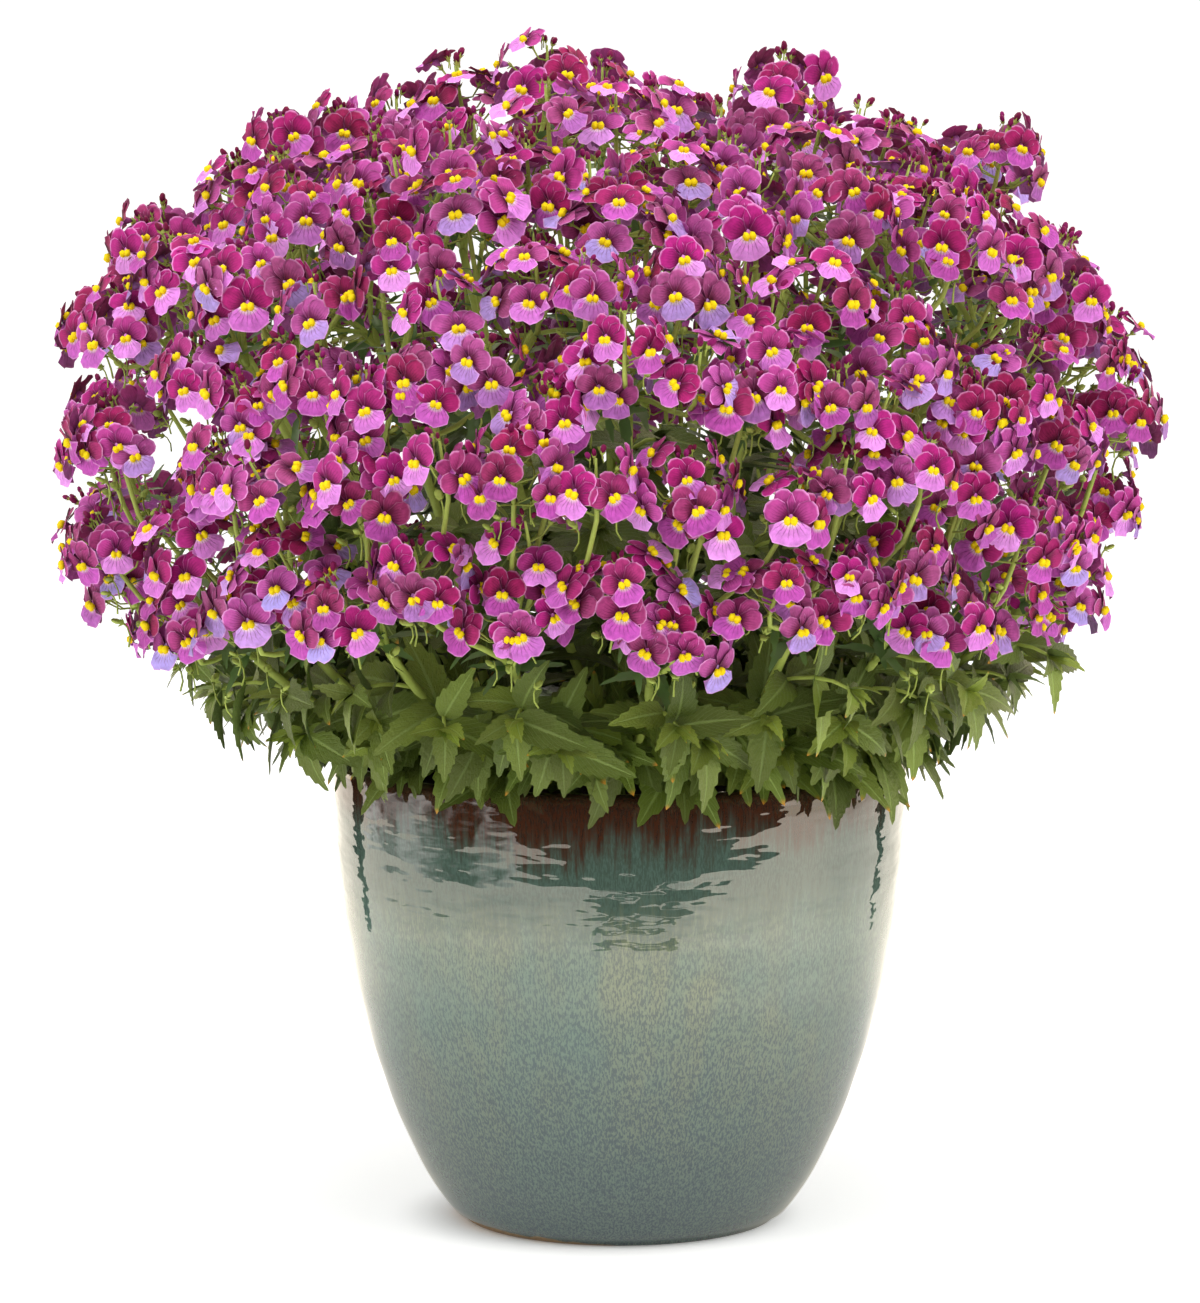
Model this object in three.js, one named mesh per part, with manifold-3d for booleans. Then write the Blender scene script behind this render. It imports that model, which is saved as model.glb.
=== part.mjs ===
// Potted nemesia: an egg-shaped glazed pot of soil, in which twelve leafy stems stand and carry a dome of
// forty-six bunches of two-lipped flowers. Millimetres, +Z up, -Y towards the viewer, and the origin on the
// ground under the pot's axis.
import * as THREE from "three";
import { mergeVertices } from "three/addons/utils/BufferGeometryUtils.js";
import Module from "manifold-3d";

const wasm = await Module();
wasm.setup();

// Driving dimensions of the pot.
const POT_HEIGHT = 195;
const RIM_RADIUS = 120;
const FOOT_RADIUS = 66;
const FOOT_RING_WIDTH = 12;
const FOOT_RECESS = 4;
const FLOOR_TOP = 14;
const WALL = 11;
const DRAIN_RADIUS = 10;
const BELLY = 0.73; // below 1 the side bellies out low down, as an egg does
const POT_SEGMENTS = 36;
const SOIL_SEGMENTS = 24;

// Driving dimensions of the soil.
const SOIL_GAP = 0.9; // a coarser lathe than the pot's, so its corners need more room
const SOIL_EDGE = 170;
const SOIL_CROWN = 176;
const HOLE_GAP = 0.4;

// The dome that the heads of flowers stand on is turned round an axis just left of the pot's.
const DOME_CENTRE = new THREE.Vector3(-5, 0, 300);
const DOME_RADIUS = 217;
const DOME_RISE = 160;
const DOME_DROOP = 140;
const DOME_ROUNDNESS = 0.78; // 1 is an ellipse, and less is boxier
const DOME_TUCK = 3; // more draws the dome in faster below its widest height
const FOCUS = new THREE.Vector3(0, 0, 90); // each head points away from here
const LAYOUT = 46; // picks one of the layouts that chance may draw
const COLUMNS = 20; // columns of heads down the side, in threes
const UPPER_ROWS = [42, 55, 68]; // degrees from the top of the dome
const LOWER_ROWS = [81, 90.2, 102];
const INNER_BUNCHES = 6;
const INNER_ROWS = [4, 14, 27];
const SIDE_DRAW = 15; // how wide the spot is that chance may put a head in
const PROUD_DRAW = 18;
const PROUD_LEAST = -12;
const SPIRE_SHARE = 0.1; // of the heads stand well out of the dome
const SPIRE_EXTRA = 16;
const TALLEST_EXTRA = 22; // of the one head that tops the crown

// Driving dimensions of a head of flowers and its stalk.
const HEAD_RADIUS = 33;
const HEAD_GAP = 0.6; // between the florets of neighbouring heads
const LEAST_SHARE = 0.5; // of its way outwards that a crowded floret keeps
const DRAWN_IN = [1, 0.85, 0.7, 0.55, 0.42]; // what a floret that has no room is tried at
const FLORETS = 5;
const FORK_DEPTH = 40; // how far inside the lowest of its heads their stalks join
const FORK_RADIUS = 3.2;
const FORK_HEIGHT = 3;

// Driving dimensions of the leafy stems and their leaves.
const OUTER_STEMS = 10;
const INNER_STEMS = 2;
const CROWN_HEIGHT = 200;
const INNER_CROWN_RADIUS = 30;
const OUTER_CROWN_RADIUS = 80;
const ROOT_RADIUS = 3;
const ROOT_DEPTH = 25;
const STEM_RADIUS = 2;
const STEM_GAP = 0.6; // between a stem's end and the fork that it carries
const NODE_LENGTH = 3; // of stem that a pair of leaves takes up
const LEAF_LENGTH = 38;
const LEAF_WIDTH = 15;
const LEAF_THICKNESS = 1.6;
const LEAF_CLEARANCE = 1;

const DEGREE = Math.PI / 180;
const UP = new THREE.Vector3(0, 0, 1);

const materials = {
  glaze: new THREE.MeshStandardMaterial({ color: 0x6f8f86, roughness: 0.15 }),
  soil: new THREE.MeshStandardMaterial({ color: 0x2e2218, roughness: 0.95 }),
  leaf: new THREE.MeshStandardMaterial({ color: 0x4a6b27, roughness: 0.55 }),
  petal: new THREE.MeshStandardMaterial({ color: 0xa0307f, roughness: 0.6 }),
};

// A row of draws from 0 to 1 that is the same on every run.
function draws(seed) {
  let state = (seed * 48271 + 7) % 2147483647;
  return () => {
    state = (state * 16807) % 2147483647;
    return state / 2147483647;
  };
}

// The point at a radius, an azimuth in degrees and a height.
function polar(radius, azimuth, height) {
  const turn = azimuth * DEGREE;
  return new THREE.Vector3(radius * Math.cos(turn), radius * Math.sin(turn), height);
}

// The closed solid of a geometry, or of points and triangles.
function solidOf(geometry) {
  const bare = geometry.clone();
  bare.deleteAttribute("normal");
  bare.deleteAttribute("uv");
  const merged = mergeVertices(bare, 1e-4);
  return new wasm.Manifold(
    new wasm.Mesh({
      numProp: 3,
      vertProperties: merged.attributes.position.array,
      triVerts: new Uint32Array(merged.index.array),
    }),
  );
}

function solidOfFaces(points, faces) {
  const geometry = new THREE.BufferGeometry().setFromPoints(points);
  geometry.setIndex(faces.flat());
  return solidOf(geometry);
}

function meshOf(name, solid, material) {
  const cut = solid.getMesh();
  const geometry = new THREE.BufferGeometry();
  geometry.setAttribute("position", new THREE.BufferAttribute(cut.vertProperties, 3));
  geometry.setIndex(new THREE.BufferAttribute(cut.triVerts, 1));
  geometry.computeVertexNormals();
  const mesh = new THREE.Mesh(geometry, material);
  mesh.name = name;
  return mesh;
}

// Pot and soil.

function potRadius(height) {
  const share = Math.pow(height / POT_HEIGHT, BELLY);
  return FOOT_RADIUS + (RIM_RADIUS - FOOT_RADIUS) * Math.sin((share * Math.PI) / 2);
}

function lathe(profile, segments) {
  const outline = profile.map(([radius, height]) => new THREE.Vector2(radius, height));
  return solidOf(new THREE.LatheGeometry(outline, segments).rotateX(Math.PI / 2));
}

// The inside of the wall is straight between these heights, and the soil follows it.
const INSIDE = [FLOOR_TOP, 65, 120, SOIL_EDGE].map((height) => [potRadius(height) - WALL, height]);
INSIDE[0][0] = FOOT_RADIUS - 4;

function makePot() {
  const outside = [0.025, 0.09, 0.19, 0.33, 0.5, 0.7, 0.88, 0.975].map((share) => {
    const height = share * POT_HEIGHT;
    return [potRadius(height), height];
  });
  const lip = [
    [RIM_RADIUS - 3, POT_HEIGHT],
    [RIM_RADIUS - WALL + 2, POT_HEIGHT],
  ];
  const underside = [
    [DRAIN_RADIUS, FLOOR_TOP],
    [DRAIN_RADIUS, FOOT_RECESS],
    [FOOT_RADIUS - FOOT_RING_WIDTH, FOOT_RECESS],
    [FOOT_RADIUS - FOOT_RING_WIDTH, 0],
  ];
  const foot = [FOOT_RADIUS, 0];
  return lathe([foot, ...outside, ...lip, ...[...INSIDE].reverse(), ...underside, foot], POT_SEGMENTS);
}

function makeSoil(roots) {
  const side = INSIDE.map(([radius, height]) => [radius - SOIL_GAP, height]);
  side[0][1] += SOIL_GAP;
  const filling = lathe([[0, side[0][1]], ...side, [0, SOIL_CROWN]], SOIL_SEGMENTS);
  return filling.subtract(wasm.Manifold.union(roots));
}

// The layout of the heads.

function domePoint(latitude, azimuth) {
  const cosine = Math.cos(latitude * DEGREE);
  const across = Math.pow(Math.sin(latitude * DEGREE), cosine > 0 ? DOME_ROUNDNESS : DOME_TUCK);
  const rise = cosine > 0 ? DOME_RISE : -DOME_DROOP;
  const height = rise * Math.pow(Math.abs(cosine), DOME_ROUNDNESS);
  return polar(DOME_RADIUS * across, azimuth, height).add(DOME_CENTRE);
}

// A head has a centre, the way that it points, and two directions across it.
function placeHead([latitude, azimuth, extra = 0], draw) {
  const drawn = [draw(), draw(), draw(), draw(), draw()];
  const spot = domePoint(latitude, azimuth);
  const axis = spot.clone().sub(FOCUS).normalize();
  const spire = extra || (drawn[3] < SPIRE_SHARE ? SPIRE_EXTRA : 0);
  const east = UP.clone().cross(axis).normalize();
  const centre = spot
    .addScaledVector(east, (drawn[0] - 0.5) * SIDE_DRAW)
    .addScaledVector(axis.clone().cross(east), (drawn[1] - 0.5) * SIDE_DRAW)
    .addScaledVector(axis, PROUD_LEAST + PROUD_DRAW * drawn[2] + spire);
  const turn = (45 + 24 * (drawn[4] - 0.5)) * DEGREE;
  const across = east.clone().applyAxisAngle(axis, turn);
  return { centre, axis, across, aside: axis.clone().cross(across) };
}

// A bunch is a few neighbouring heads and the fork below them.
function placeBunch(stem, places, seed) {
  const draw = draws(seed);
  const heads = places.map((place) => placeHead(place, draw));
  const middle = new THREE.Vector3();
  heads.forEach((head) => middle.addScaledVector(head.centre, 1 / heads.length));
  const axis = middle.clone().sub(FOCUS).normalize();
  const lowest = Math.min(...heads.map((head) => head.centre.clone().sub(middle).dot(axis)));
  return { stem, heads, axis, fork: middle.addScaledVector(axis, lowest - FORK_DEPTH) };
}

function layOut() {
  const bunches = [];
  const inner = 360 / INNER_BUNCHES;
  for (let k = 0; k < INNER_BUNCHES; k++) {
    const azimuth = inner * (k + 0.5);
    const places = [
      [INNER_ROWS[1], azimuth + (k % 2 ? 14 : 0)],
      [INNER_ROWS[2], azimuth - inner / 4],
      [INNER_ROWS[2], azimuth + inner / 4],
    ];
    if (k % 2) places.push([INNER_ROWS[0], azimuth - 10, k === 3 ? TALLEST_EXTRA : 0]);
    bunches.push([OUTER_STEMS + Math.floor(k / (INNER_BUNCHES / INNER_STEMS)), places]);
  }
  const step = 360 / COLUMNS;
  for (let k = 0; k < COLUMNS; k++) {
    const stem = Math.floor((k * OUTER_STEMS) / COLUMNS);
    bunches.push([stem, UPPER_ROWS.map((row, i) => [row, step * (k + (i % 2 ? 0.5 : 0))])]);
    bunches.push([stem, LOWER_ROWS.map((row, i) => [row, step * (k + (i % 2 ? 0 : 0.5))])]);
  }
  return bunches.map(([stem, places], seed) => placeBunch(stem, places, 100 * LAYOUT + seed + 1));
}

// A body is a list of points and of the triangles that join them.
class Body {
  constructor() {
    this.points = [];
    this.faces = [];
  }

  add(points) {
    return points.map((point) => this.points.push(point) - 1);
  }

  cap(ring) {
    for (let k = 1; k + 1 < ring.length; k++) this.faces.push([ring[0], ring[k + 1], ring[k]]);
  }

  // Joins two rings, anticlockwise as seen from the upper one, by the angles that their points stand at.
  band(lower, upper) {
    const middleOf = (ring) => {
      const middle = new THREE.Vector3();
      ring.forEach((i) => middle.addScaledVector(this.points[i], 1 / ring.length));
      return middle;
    };
    const [from, to] = [middleOf(lower), middleOf(upper)];
    const along = to.clone().sub(from).normalize();
    const start = this.points[lower[0]].clone().sub(from);
    const zero = start.addScaledVector(along, -start.dot(along)).normalize();
    const side = along.clone().cross(zero);
    const anglesOf = (ring, middle) => {
      const angles = ring.map((i) => {
        const arm = this.points[i].clone().sub(middle);
        return (Math.atan2(arm.dot(side), arm.dot(zero)) / DEGREE + 360) % 360;
      });
      const first = angles.indexOf(Math.min(...angles));
      return ring.map((_, k) => {
        const at = (first + k) % ring.length;
        return { i: ring[at], angle: angles[at] };
      });
    };
    const low = anglesOf(lower, from);
    const high = anglesOf(upper, to);
    const at = (list, k) => {
      const turn = Math.floor(k / list.length);
      const { i, angle } = list[k - turn * list.length];
      return { i, angle: angle + 360 * turn };
    };
    const lastHigh = high.length - 1;
    let [i, j] = [0, -1];
    while (i < low.length || j < lastHigh) {
      const lowNext = at(low, i + 1).angle <= at(high, j + 1).angle;
      if (j >= lastHigh || (i < low.length && lowNext)) {
        this.faces.push([at(low, i).i, at(low, i + 1).i, at(high, j).i]);
        i += 1;
      } else {
        this.faces.push([at(low, i).i, at(high, j + 1).i, at(high, j).i]);
        j += 1;
      }
    }
  }

  solid() {
    return solidOfFaces(this.points, this.faces);
  }
}

// A fork is a pyramid with one side for each branch. Gives the rings that the branches start from, and its base.
function makeFork(body, spot, axis, targets, radius, height) {
  const zero = new THREE.Vector3(1, 0, 0).cross(axis).normalize();
  const side = axis.clone().cross(zero);
  const angleOf = (target) => {
    const arm = target.clone().sub(spot);
    return Math.atan2(arm.dot(side), arm.dot(zero));
  };
  const order = targets.map((target, i) => ({ i, angle: angleOf(target) }));
  order.sort((a, b) => a.angle - b.angle);
  const step = (2 * Math.PI) / targets.length;
  let turn = 0;
  order.forEach(({ angle }, k) => (turn += (angle - step * k) / targets.length));
  const corner = (k) => {
    const angle = turn + step * (k - 0.5);
    return spot
      .clone()
      .addScaledVector(zero, radius * Math.cos(angle))
      .addScaledVector(side, radius * Math.sin(angle));
  };
  const base = body.add(targets.map((_, k) => corner(k)));
  const [top] = body.add([spot.clone().addScaledVector(axis, height)]);
  const starts = [];
  order.forEach(({ i }, k) => (starts[i] = [base[k], base[(k + 1) % base.length], top]));
  return { base, starts };
}

// What florets and leaves have to keep clear of. An owner may touch what is its own.
class Surroundings {
  constructor() {
    this.solids = [];
  }

  add(solid, owner) {
    this.solids.push({ solid, owner, box: solid.boundingBox() });
  }

  touches(room, owner) {
    const box = room.boundingBox();
    return this.solids.some((other) => {
      if (owner && other.owner === owner) return false;
      for (let k = 0; k < 3; k++) {
        if (box.min[k] > other.box.max[k] || other.box.min[k] > box.max[k]) return false;
      }
      return room.intersect(other.solid).volume() > 1e-3;
    });
  }
}

// Flowers.

// One floret's outline round its throat, as shares of the head's radius: outwards, sideways and along the axis.
// The upper lip has two lobes and a notch, and the broad lower lip flares out below it.
const FLORET = {
  leftLobe: [0.42, 0.25, 0.56],
  notch: [0.45, 0, 0.38],
  rightLobe: [0.42, -0.25, 0.56],
  rightCleft: [0.53, -0.28, 0.1],
  lipRight: [0.86, -0.47, -0.2],
  lipLeft: [0.86, 0.47, -0.2],
  leftCleft: [0.53, 0.28, 0.1],
};
const CORE_TOP = 0.3;
const CORE_RADIUS = 0.26;
const CORE_WAIST = -0.1;

// A point of a head is drawn in towards the head's axis until it is on its own side of every neighbour.
function keepOwnSide(head, offset, heads, most) {
  const walls = [];
  for (const other of heads) {
    if (other === head) continue;
    const apart = other.centre.clone().sub(head.centre);
    const half = (apart.length() - HEAD_GAP) / 2;
    if (half < 2 * HEAD_RADIUS) walls.push([half, apart.normalize()]);
  }
  const along = head.axis.clone().multiplyScalar(offset.dot(head.axis));
  const out = offset.clone().sub(along);
  let share = most;
  for (const [half, apart] of walls) {
    const reach = out.dot(apart);
    if (reach > 0) share = Math.min(share, (half - along.dot(apart)) / reach);
  }
  along.addScaledVector(out, Math.max(share, Math.min(most, LEAST_SHARE)));
  share = 1;
  for (const [half, apart] of walls) share = Math.min(share, half / Math.max(along.dot(apart), half));
  return along.multiplyScalar(share);
}

// The faces of a floret between the top of the core and two corners of its waist.
function addFloret(body, top, right, left, outline) {
  const [leftLobe, notch, rightLobe, rightCleft, lipRight, lipLeft, leftCleft] = body.add(outline);
  body.faces.push(
    [top, notch, leftLobe],
    [top, rightLobe, notch],
    [top, right, rightLobe],
    [right, rightCleft, rightLobe],
    [right, lipRight, rightCleft],
    [right, lipLeft, lipRight],
    [right, left, lipLeft],
    [left, leftCleft, lipLeft],
    [left, leftLobe, leftCleft],
    [left, top, leftLobe],
    [leftLobe, notch, leftCleft],
    [notch, rightLobe, rightCleft],
    [notch, rightCleft, leftCleft],
    [leftCleft, rightCleft, lipLeft],
    [lipLeft, rightCleft, lipRight],
  );
}

// A head is a ring of florets back to back round a small core, which tapers down into its stalk. A floret is
// drawn in until it has room, and one that never has is left out.
function addHead(body, head, stalk, heads, around) {
  const spot = (out, side, along, turn) => {
    const [cosine, sine] = [Math.cos(turn * DEGREE), Math.sin(turn * DEGREE)];
    return new THREE.Vector3()
      .addScaledVector(head.across, out * cosine - side * sine)
      .addScaledVector(head.aside, out * sine + side * cosine)
      .addScaledVector(head.axis, along)
      .multiplyScalar(HEAD_RADIUS);
  };
  const place = (offset) => offset.add(head.centre);
  const step = 360 / FLORETS;
  const [top] = body.add([place(spot(0, 0, CORE_TOP, 0))]);
  const corners = Array.from({ length: FLORETS }, (_, k) => spot(CORE_RADIUS, 0, CORE_WAIST, step * (k - 0.5)));
  const core = body.add(corners.map(place));
  for (let k = 0; k < FLORETS; k++) {
    const [right, left] = [core[k], core[(k + 1) % FLORETS]];
    const outlines = DRAWN_IN.map((most) =>
      Object.values(FLORET).map((share) => place(keepOwnSide(head, spot(...share, step * k), heads, most))),
    );
    const fits = outlines.find((outline) => {
      const alone = new Body();
      const [a, b, c] = alone.add([top, right, left].map((i) => body.points[i].clone()));
      addFloret(alone, a, b, c, outline);
      alone.faces.push([c, b, a]);
      return !around.touches(alone.solid(), head);
    });
    if (fits) addFloret(body, top, right, left, fits);
    else body.faces.push([right, left, top]);
  }
  body.band(stalk, core);
}

// The solid that the stalk of a head takes up, as far as a share of its way from the fork.
function stalkRoom(head, bunch, share) {
  const alone = new Body();
  const along = head.centre.clone().sub(bunch.fork);
  const across = UP.clone().cross(along).normalize();
  const aside = along.clone().cross(across).normalize();
  const ringAt = (part) => {
    const radius = FORK_RADIUS + part * (CORE_RADIUS * HEAD_RADIUS - FORK_RADIUS) + HEAD_GAP;
    return alone.add(
      [0, 90, 180, 270].map((angle) =>
        bunch.fork
          .clone()
          .addScaledVector(along, part)
          .addScaledVector(across, radius * Math.cos(angle * DEGREE))
          .addScaledVector(aside, radius * Math.sin(angle * DEGREE)),
      ),
    );
  };
  const [lower, upper] = [ringAt(0), ringAt(share)];
  alone.cap(lower);
  alone.band(lower, upper);
  alone.cap([...upper].reverse());
  return alone.solid();
}

function makeBunch(bunch, heads, around) {
  const body = new Body();
  const targets = bunch.heads.map((head) => head.centre);
  const fork = makeFork(body, bunch.fork, bunch.axis, targets, FORK_RADIUS, FORK_HEIGHT);
  body.cap(fork.base);
  bunch.heads.forEach((head, i) => addHead(body, head, fork.starts[i], heads, around));
  return body.solid();
}

// Leaves.

// Half of a leaf's toothed outline: the share of its length, and the share of its half width.
const LEAF_EDGE = [
  [0.36, 1],
  [0.46, 0.76],
  [0.72, 0.62],
];
const LEAF_MIDDLE = 0.42;
const LEAF_FOLD = 0.22; // the halves rise from the midrib by this share of their width

// A leaf grows out of the four corners of one side of a stem's node, given from below left anticlockwise. It
// leaves at a lift above the horizon and bends down along an arc.
function addLeaf(body, corners, leaf, extra) {
  const foot = new THREE.Vector3();
  corners.forEach((i) => foot.addScaledVector(body.points[i], 0.25));
  const length = leaf.length + extra;
  const along = (share) => {
    const steps = 8;
    const spot = foot.clone();
    for (let k = 0; k < steps; k++) {
      const tilt = (leaf.lift - (leaf.bend * share * (k + 0.5)) / steps) * DEGREE;
      const step = (length * share) / steps;
      spot.add(polar(step * Math.cos(tilt), leaf.azimuth, step * Math.sin(tilt)));
    }
    return spot;
  };
  const above = (share, height) => {
    const tilt = (leaf.lift - leaf.bend * share) * DEGREE;
    return polar(-height * Math.sin(tilt), leaf.azimuth, height * Math.cos(tilt));
  };
  const edge = ([share, half]) => {
    const out = half * (LEAF_WIDTH / 2 + extra);
    const spot = along(share).add(polar(out, leaf.azimuth + 90, 0));
    return spot.add(above(share, Math.abs(out) * LEAF_FOLD));
  };
  const left = body.add(LEAF_EDGE.map(([share, half]) => edge([share, -half])));
  const [tip] = body.add([along(1)]);
  const right = body.add(LEAF_EDGE.map(edge)).reverse();
  const upward = above(0, 1);
  const rises = corners.map((_, k) => {
    const [a, b, c, d] = [0, 1, 2, 3].map((i) => body.points[corners[(k + i) % 4]].dot(upward));
    return c + d - a - b;
  });
  const turn = rises.indexOf(Math.max(...rises));
  const [belowLeft, belowRight, aboveRight, aboveLeft] = [0, 1, 2, 3].map((i) => corners[(turn + i) % 4]);
  const rim = [...left, tip, ...right];
  for (const [side, first, last] of [
    [1, aboveLeft, aboveRight],
    [-1, belowLeft, belowRight],
  ]) {
    const height = side * (LEAF_THICKNESS / 2 + extra);
    const [middle] = body.add([along(LEAF_MIDDLE).add(above(LEAF_MIDDLE, height))]);
    const loop = [last, first, ...rim];
    loop.forEach((from, k) => {
      const to = loop[(k + 1) % loop.length];
      body.faces.push(side > 0 ? [middle, from, to] : [middle, to, from]);
    });
  }
  body.faces.push([right[right.length - 1], belowRight, aboveRight], [left[0], aboveLeft, belowLeft]);
}

// The solid that one leaf takes up, a little larger all round.
function leafRoom(body, corners, leaf) {
  const alone = new Body();
  const [a, b, c, d] = alone.add(corners.map((i) => body.points[i]));
  addLeaf(alone, [a, b, c, d], leaf, LEAF_CLEARANCE);
  alone.faces.push([a, c, b], [a, d, c]);
  return alone.solid();
}

// Leafy stems.

// The ends of a main stem, which runs straight from the soil to its crown.
function rootEnds(index, depth) {
  const outer = index < OUTER_STEMS;
  const turn = outer ? index / OUTER_STEMS : (index - OUTER_STEMS) / INNER_STEMS;
  const azimuth = 360 * (turn + 0.5 / (outer ? OUTER_STEMS : INNER_STEMS));
  const radius = outer ? OUTER_CROWN_RADIUS : INNER_CROWN_RADIUS;
  return [polar(radius * 0.85, azimuth, SOIL_EDGE - depth), polar(radius, azimuth, CROWN_HEIGHT)];
}

const isLow = (bunch) => bunch.fork.z < 280;
const nodeShares = (bunch) => (isLow(bunch) ? [0.2, 0.42, 0.68] : [0.45]);

function branchPath(crown, bunch) {
  const tip = bunch.fork.clone().addScaledVector(bunch.axis, -STEM_GAP);
  const bend = tip.clone().addScaledVector(bunch.axis, -0.45 * tip.distanceTo(crown));
  return new THREE.QuadraticBezierCurve3(crown, bend, tip);
}

// The solid that a branch takes up between two shares of its length.
function branchRoom(path, lateral, from, to) {
  const alone = new Body();
  const rings = [0, 1, 2, 3].map((k) =>
    alone.add(ringAcross(path, from + ((to - from) * k) / 3, lateral, STEM_RADIUS + LEAF_CLEARANCE)),
  );
  rings.slice(1).forEach((ring, k) => alone.band(rings[k], ring));
  alone.cap(rings[0]);
  alone.cap([...rings[3]].reverse());
  return alone.solid();
}

// The leaves of a branch may touch it at their own node, and those of other branches nowhere.
function addBranchRooms(around, bunch) {
  const path = branchPath(rootEnds(bunch.stem, ROOT_DEPTH)[1], bunch);
  const lateral = UP.clone().cross(bunch.axis).normalize();
  around.add(branchRoom(path, lateral, 0.06, 1), bunch);
  const margin = (NODE_LENGTH / 2 + 3) / path.getLength();
  const ends = [0.06, ...nodeShares(bunch).flatMap((share) => [share - margin, share + margin]), 1];
  for (let k = 0; k < ends.length; k += 2) {
    if (ends[k + 1] - ends[k] > 0.01) around.add(branchRoom(path, lateral, ends[k], ends[k + 1]));
  }
}

// A three-sided ring across a path, with one corner on its upper side.
function ringAcross(path, share, lateral, radius) {
  const spot = path.getPoint(share);
  const tangent = path.getTangent(share);
  const side = lateral.clone().addScaledVector(tangent, -lateral.dot(tangent)).normalize();
  const upper = tangent.clone().cross(side);
  return [90, 210, 330].map((angle) =>
    spot
      .clone()
      .addScaledVector(side, radius * Math.cos(angle * DEGREE))
      .addScaledVector(upper, radius * Math.sin(angle * DEGREE)),
  );
}

// A branch is swept from its side of the crown to its bunch. Gives its nodes, whose sides still stand open.
function addBranch(body, start, crown, bunch, shares) {
  const path = branchPath(crown, bunch);
  const lateral = UP.clone().cross(bunch.axis).normalize();
  const half = NODE_LENGTH / 2 / path.getLength();
  const ringAt = (share) => body.add(ringAcross(path, share, lateral, STEM_RADIUS));
  let last = start;
  const nodes = shares.map((share) => {
    const lower = ringAt(share - half);
    const upper = ringAt(share + half);
    body.band(last, lower);
    last = upper;
    return { lower, upper, spot: path.getPoint(share) };
  });
  const end = ringAt(1);
  body.band(last, end);
  body.cap([...end].reverse());
  return nodes;
}

// The leaves of a node are tried at a row of turns and lifts until they have room.
const LEAF_TRIES = [
  [0, 0],
  [12, 10],
  [-8, 12],
  [24, -8],
  [-8, 26],
  [36, 30],
  [30, -14],
  [8, 46],
  [52, 20],
];

function growLeaves(body, node, low, draw, around, owner) {
  const outwards = Math.atan2(node.spot.y, node.spot.x) / DEGREE;
  node.lower.forEach((_, k) => {
    const next = (k + 1) % 3;
    const corners = [node.lower[k], node.lower[next], node.upper[next], node.upper[k]];
    const side = [-1, 0, 1][k];
    const spread = side * ((low ? 48 : 68) + 20 * draw());
    const leaf = { length: LEAF_LENGTH * (0.85 + 0.3 * draw()) };
    const lift = low ? 12 : 35;
    const bend = (low ? 85 : 60) * (0.8 + 0.4 * draw());
    const room = side
      ? LEAF_TRIES.some(([turn, more]) => {
          leaf.azimuth = outwards + spread + side * turn;
          Object.assign(leaf, { lift: lift + more, bend: bend + more });
          const solid = leafRoom(body, corners, leaf);
          if (around.touches(solid, owner)) return false;
          around.add(solid);
          return true;
        })
      : false;
    if (room) {
      addLeaf(body, corners, leaf, 0);
    } else {
      body.faces.push([corners[0], corners[1], corners[2]], [corners[0], corners[2], corners[3]]);
    }
  });
}

function makeLeafyStem(index, bunches, around) {
  const body = new Body();
  const mine = bunches.filter((bunch) => bunch.stem === index);
  const [foot, crown] = rootEnds(index, ROOT_DEPTH);
  const draw = draws(100 * LAYOUT + 60 + index);
  const axis = new THREE.Vector3();
  mine.forEach((bunch) => axis.add(bunch.fork.clone().sub(crown).normalize()));
  axis.normalize();
  const targets = mine.map((bunch) => bunch.fork);
  const fork = makeFork(body, crown, axis, targets, FORK_RADIUS, FORK_HEIGHT);
  const down = crown.clone().sub(foot).normalize();
  const base = fork.base.map((i) => {
    const arm = body.points[i].clone().sub(crown);
    return arm.addScaledVector(down, -arm.dot(down)).setLength(ROOT_RADIUS).add(foot);
  });
  const root = body.add(base);
  body.cap(root);
  body.band(root, fork.base);
  const branches = mine.map((bunch, i) => {
    return { bunch, nodes: addBranch(body, fork.starts[i], crown, bunch, nodeShares(bunch)) };
  });
  for (const { bunch, nodes } of branches) {
    nodes.forEach((node) => growLeaves(body, node, isLow(bunch), draw, around, bunch));
  }
  return body.solid();
}

function rootHole(index) {
  const [foot, crown] = rootEnds(index, ROOT_DEPTH + HOLE_GAP);
  const middle = foot.clone().lerp(crown, 0.5);
  const rod = new THREE.CylinderGeometry(ROOT_RADIUS + 1, ROOT_RADIUS + 1, foot.distanceTo(crown), 6);
  rod.rotateX(Math.PI / 2);
  rod.applyQuaternion(new THREE.Quaternion().setFromUnitVectors(UP, crown.clone().sub(foot).normalize()));
  return solidOf(rod.translate(middle.x, middle.y, middle.z));
}

const bunches = layOut();
const heads = bunches.flatMap((bunch) => bunch.heads);
const stems = Array.from({ length: OUTER_STEMS + INNER_STEMS }, (_, index) => index);
const twoFigures = (number) => String(number).padStart(2, "0");

const pot = makePot();
const soil = makeSoil(stems.map(rootHole));
const around = new Surroundings();
[pot, soil].forEach((solid) => around.add(solid));
bunches.forEach((bunch) => {
  addBranchRooms(around, bunch);
  bunch.heads.forEach((head) => {
    around.add(stalkRoom(head, bunch, 0.55));
    around.add(stalkRoom(head, bunch, 0.9), head);
  });
});
const bunchSolids = bunches.map((bunch) => makeBunch(bunch, heads, around));
bunchSolids.forEach((solid) => around.add(solid));

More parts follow.
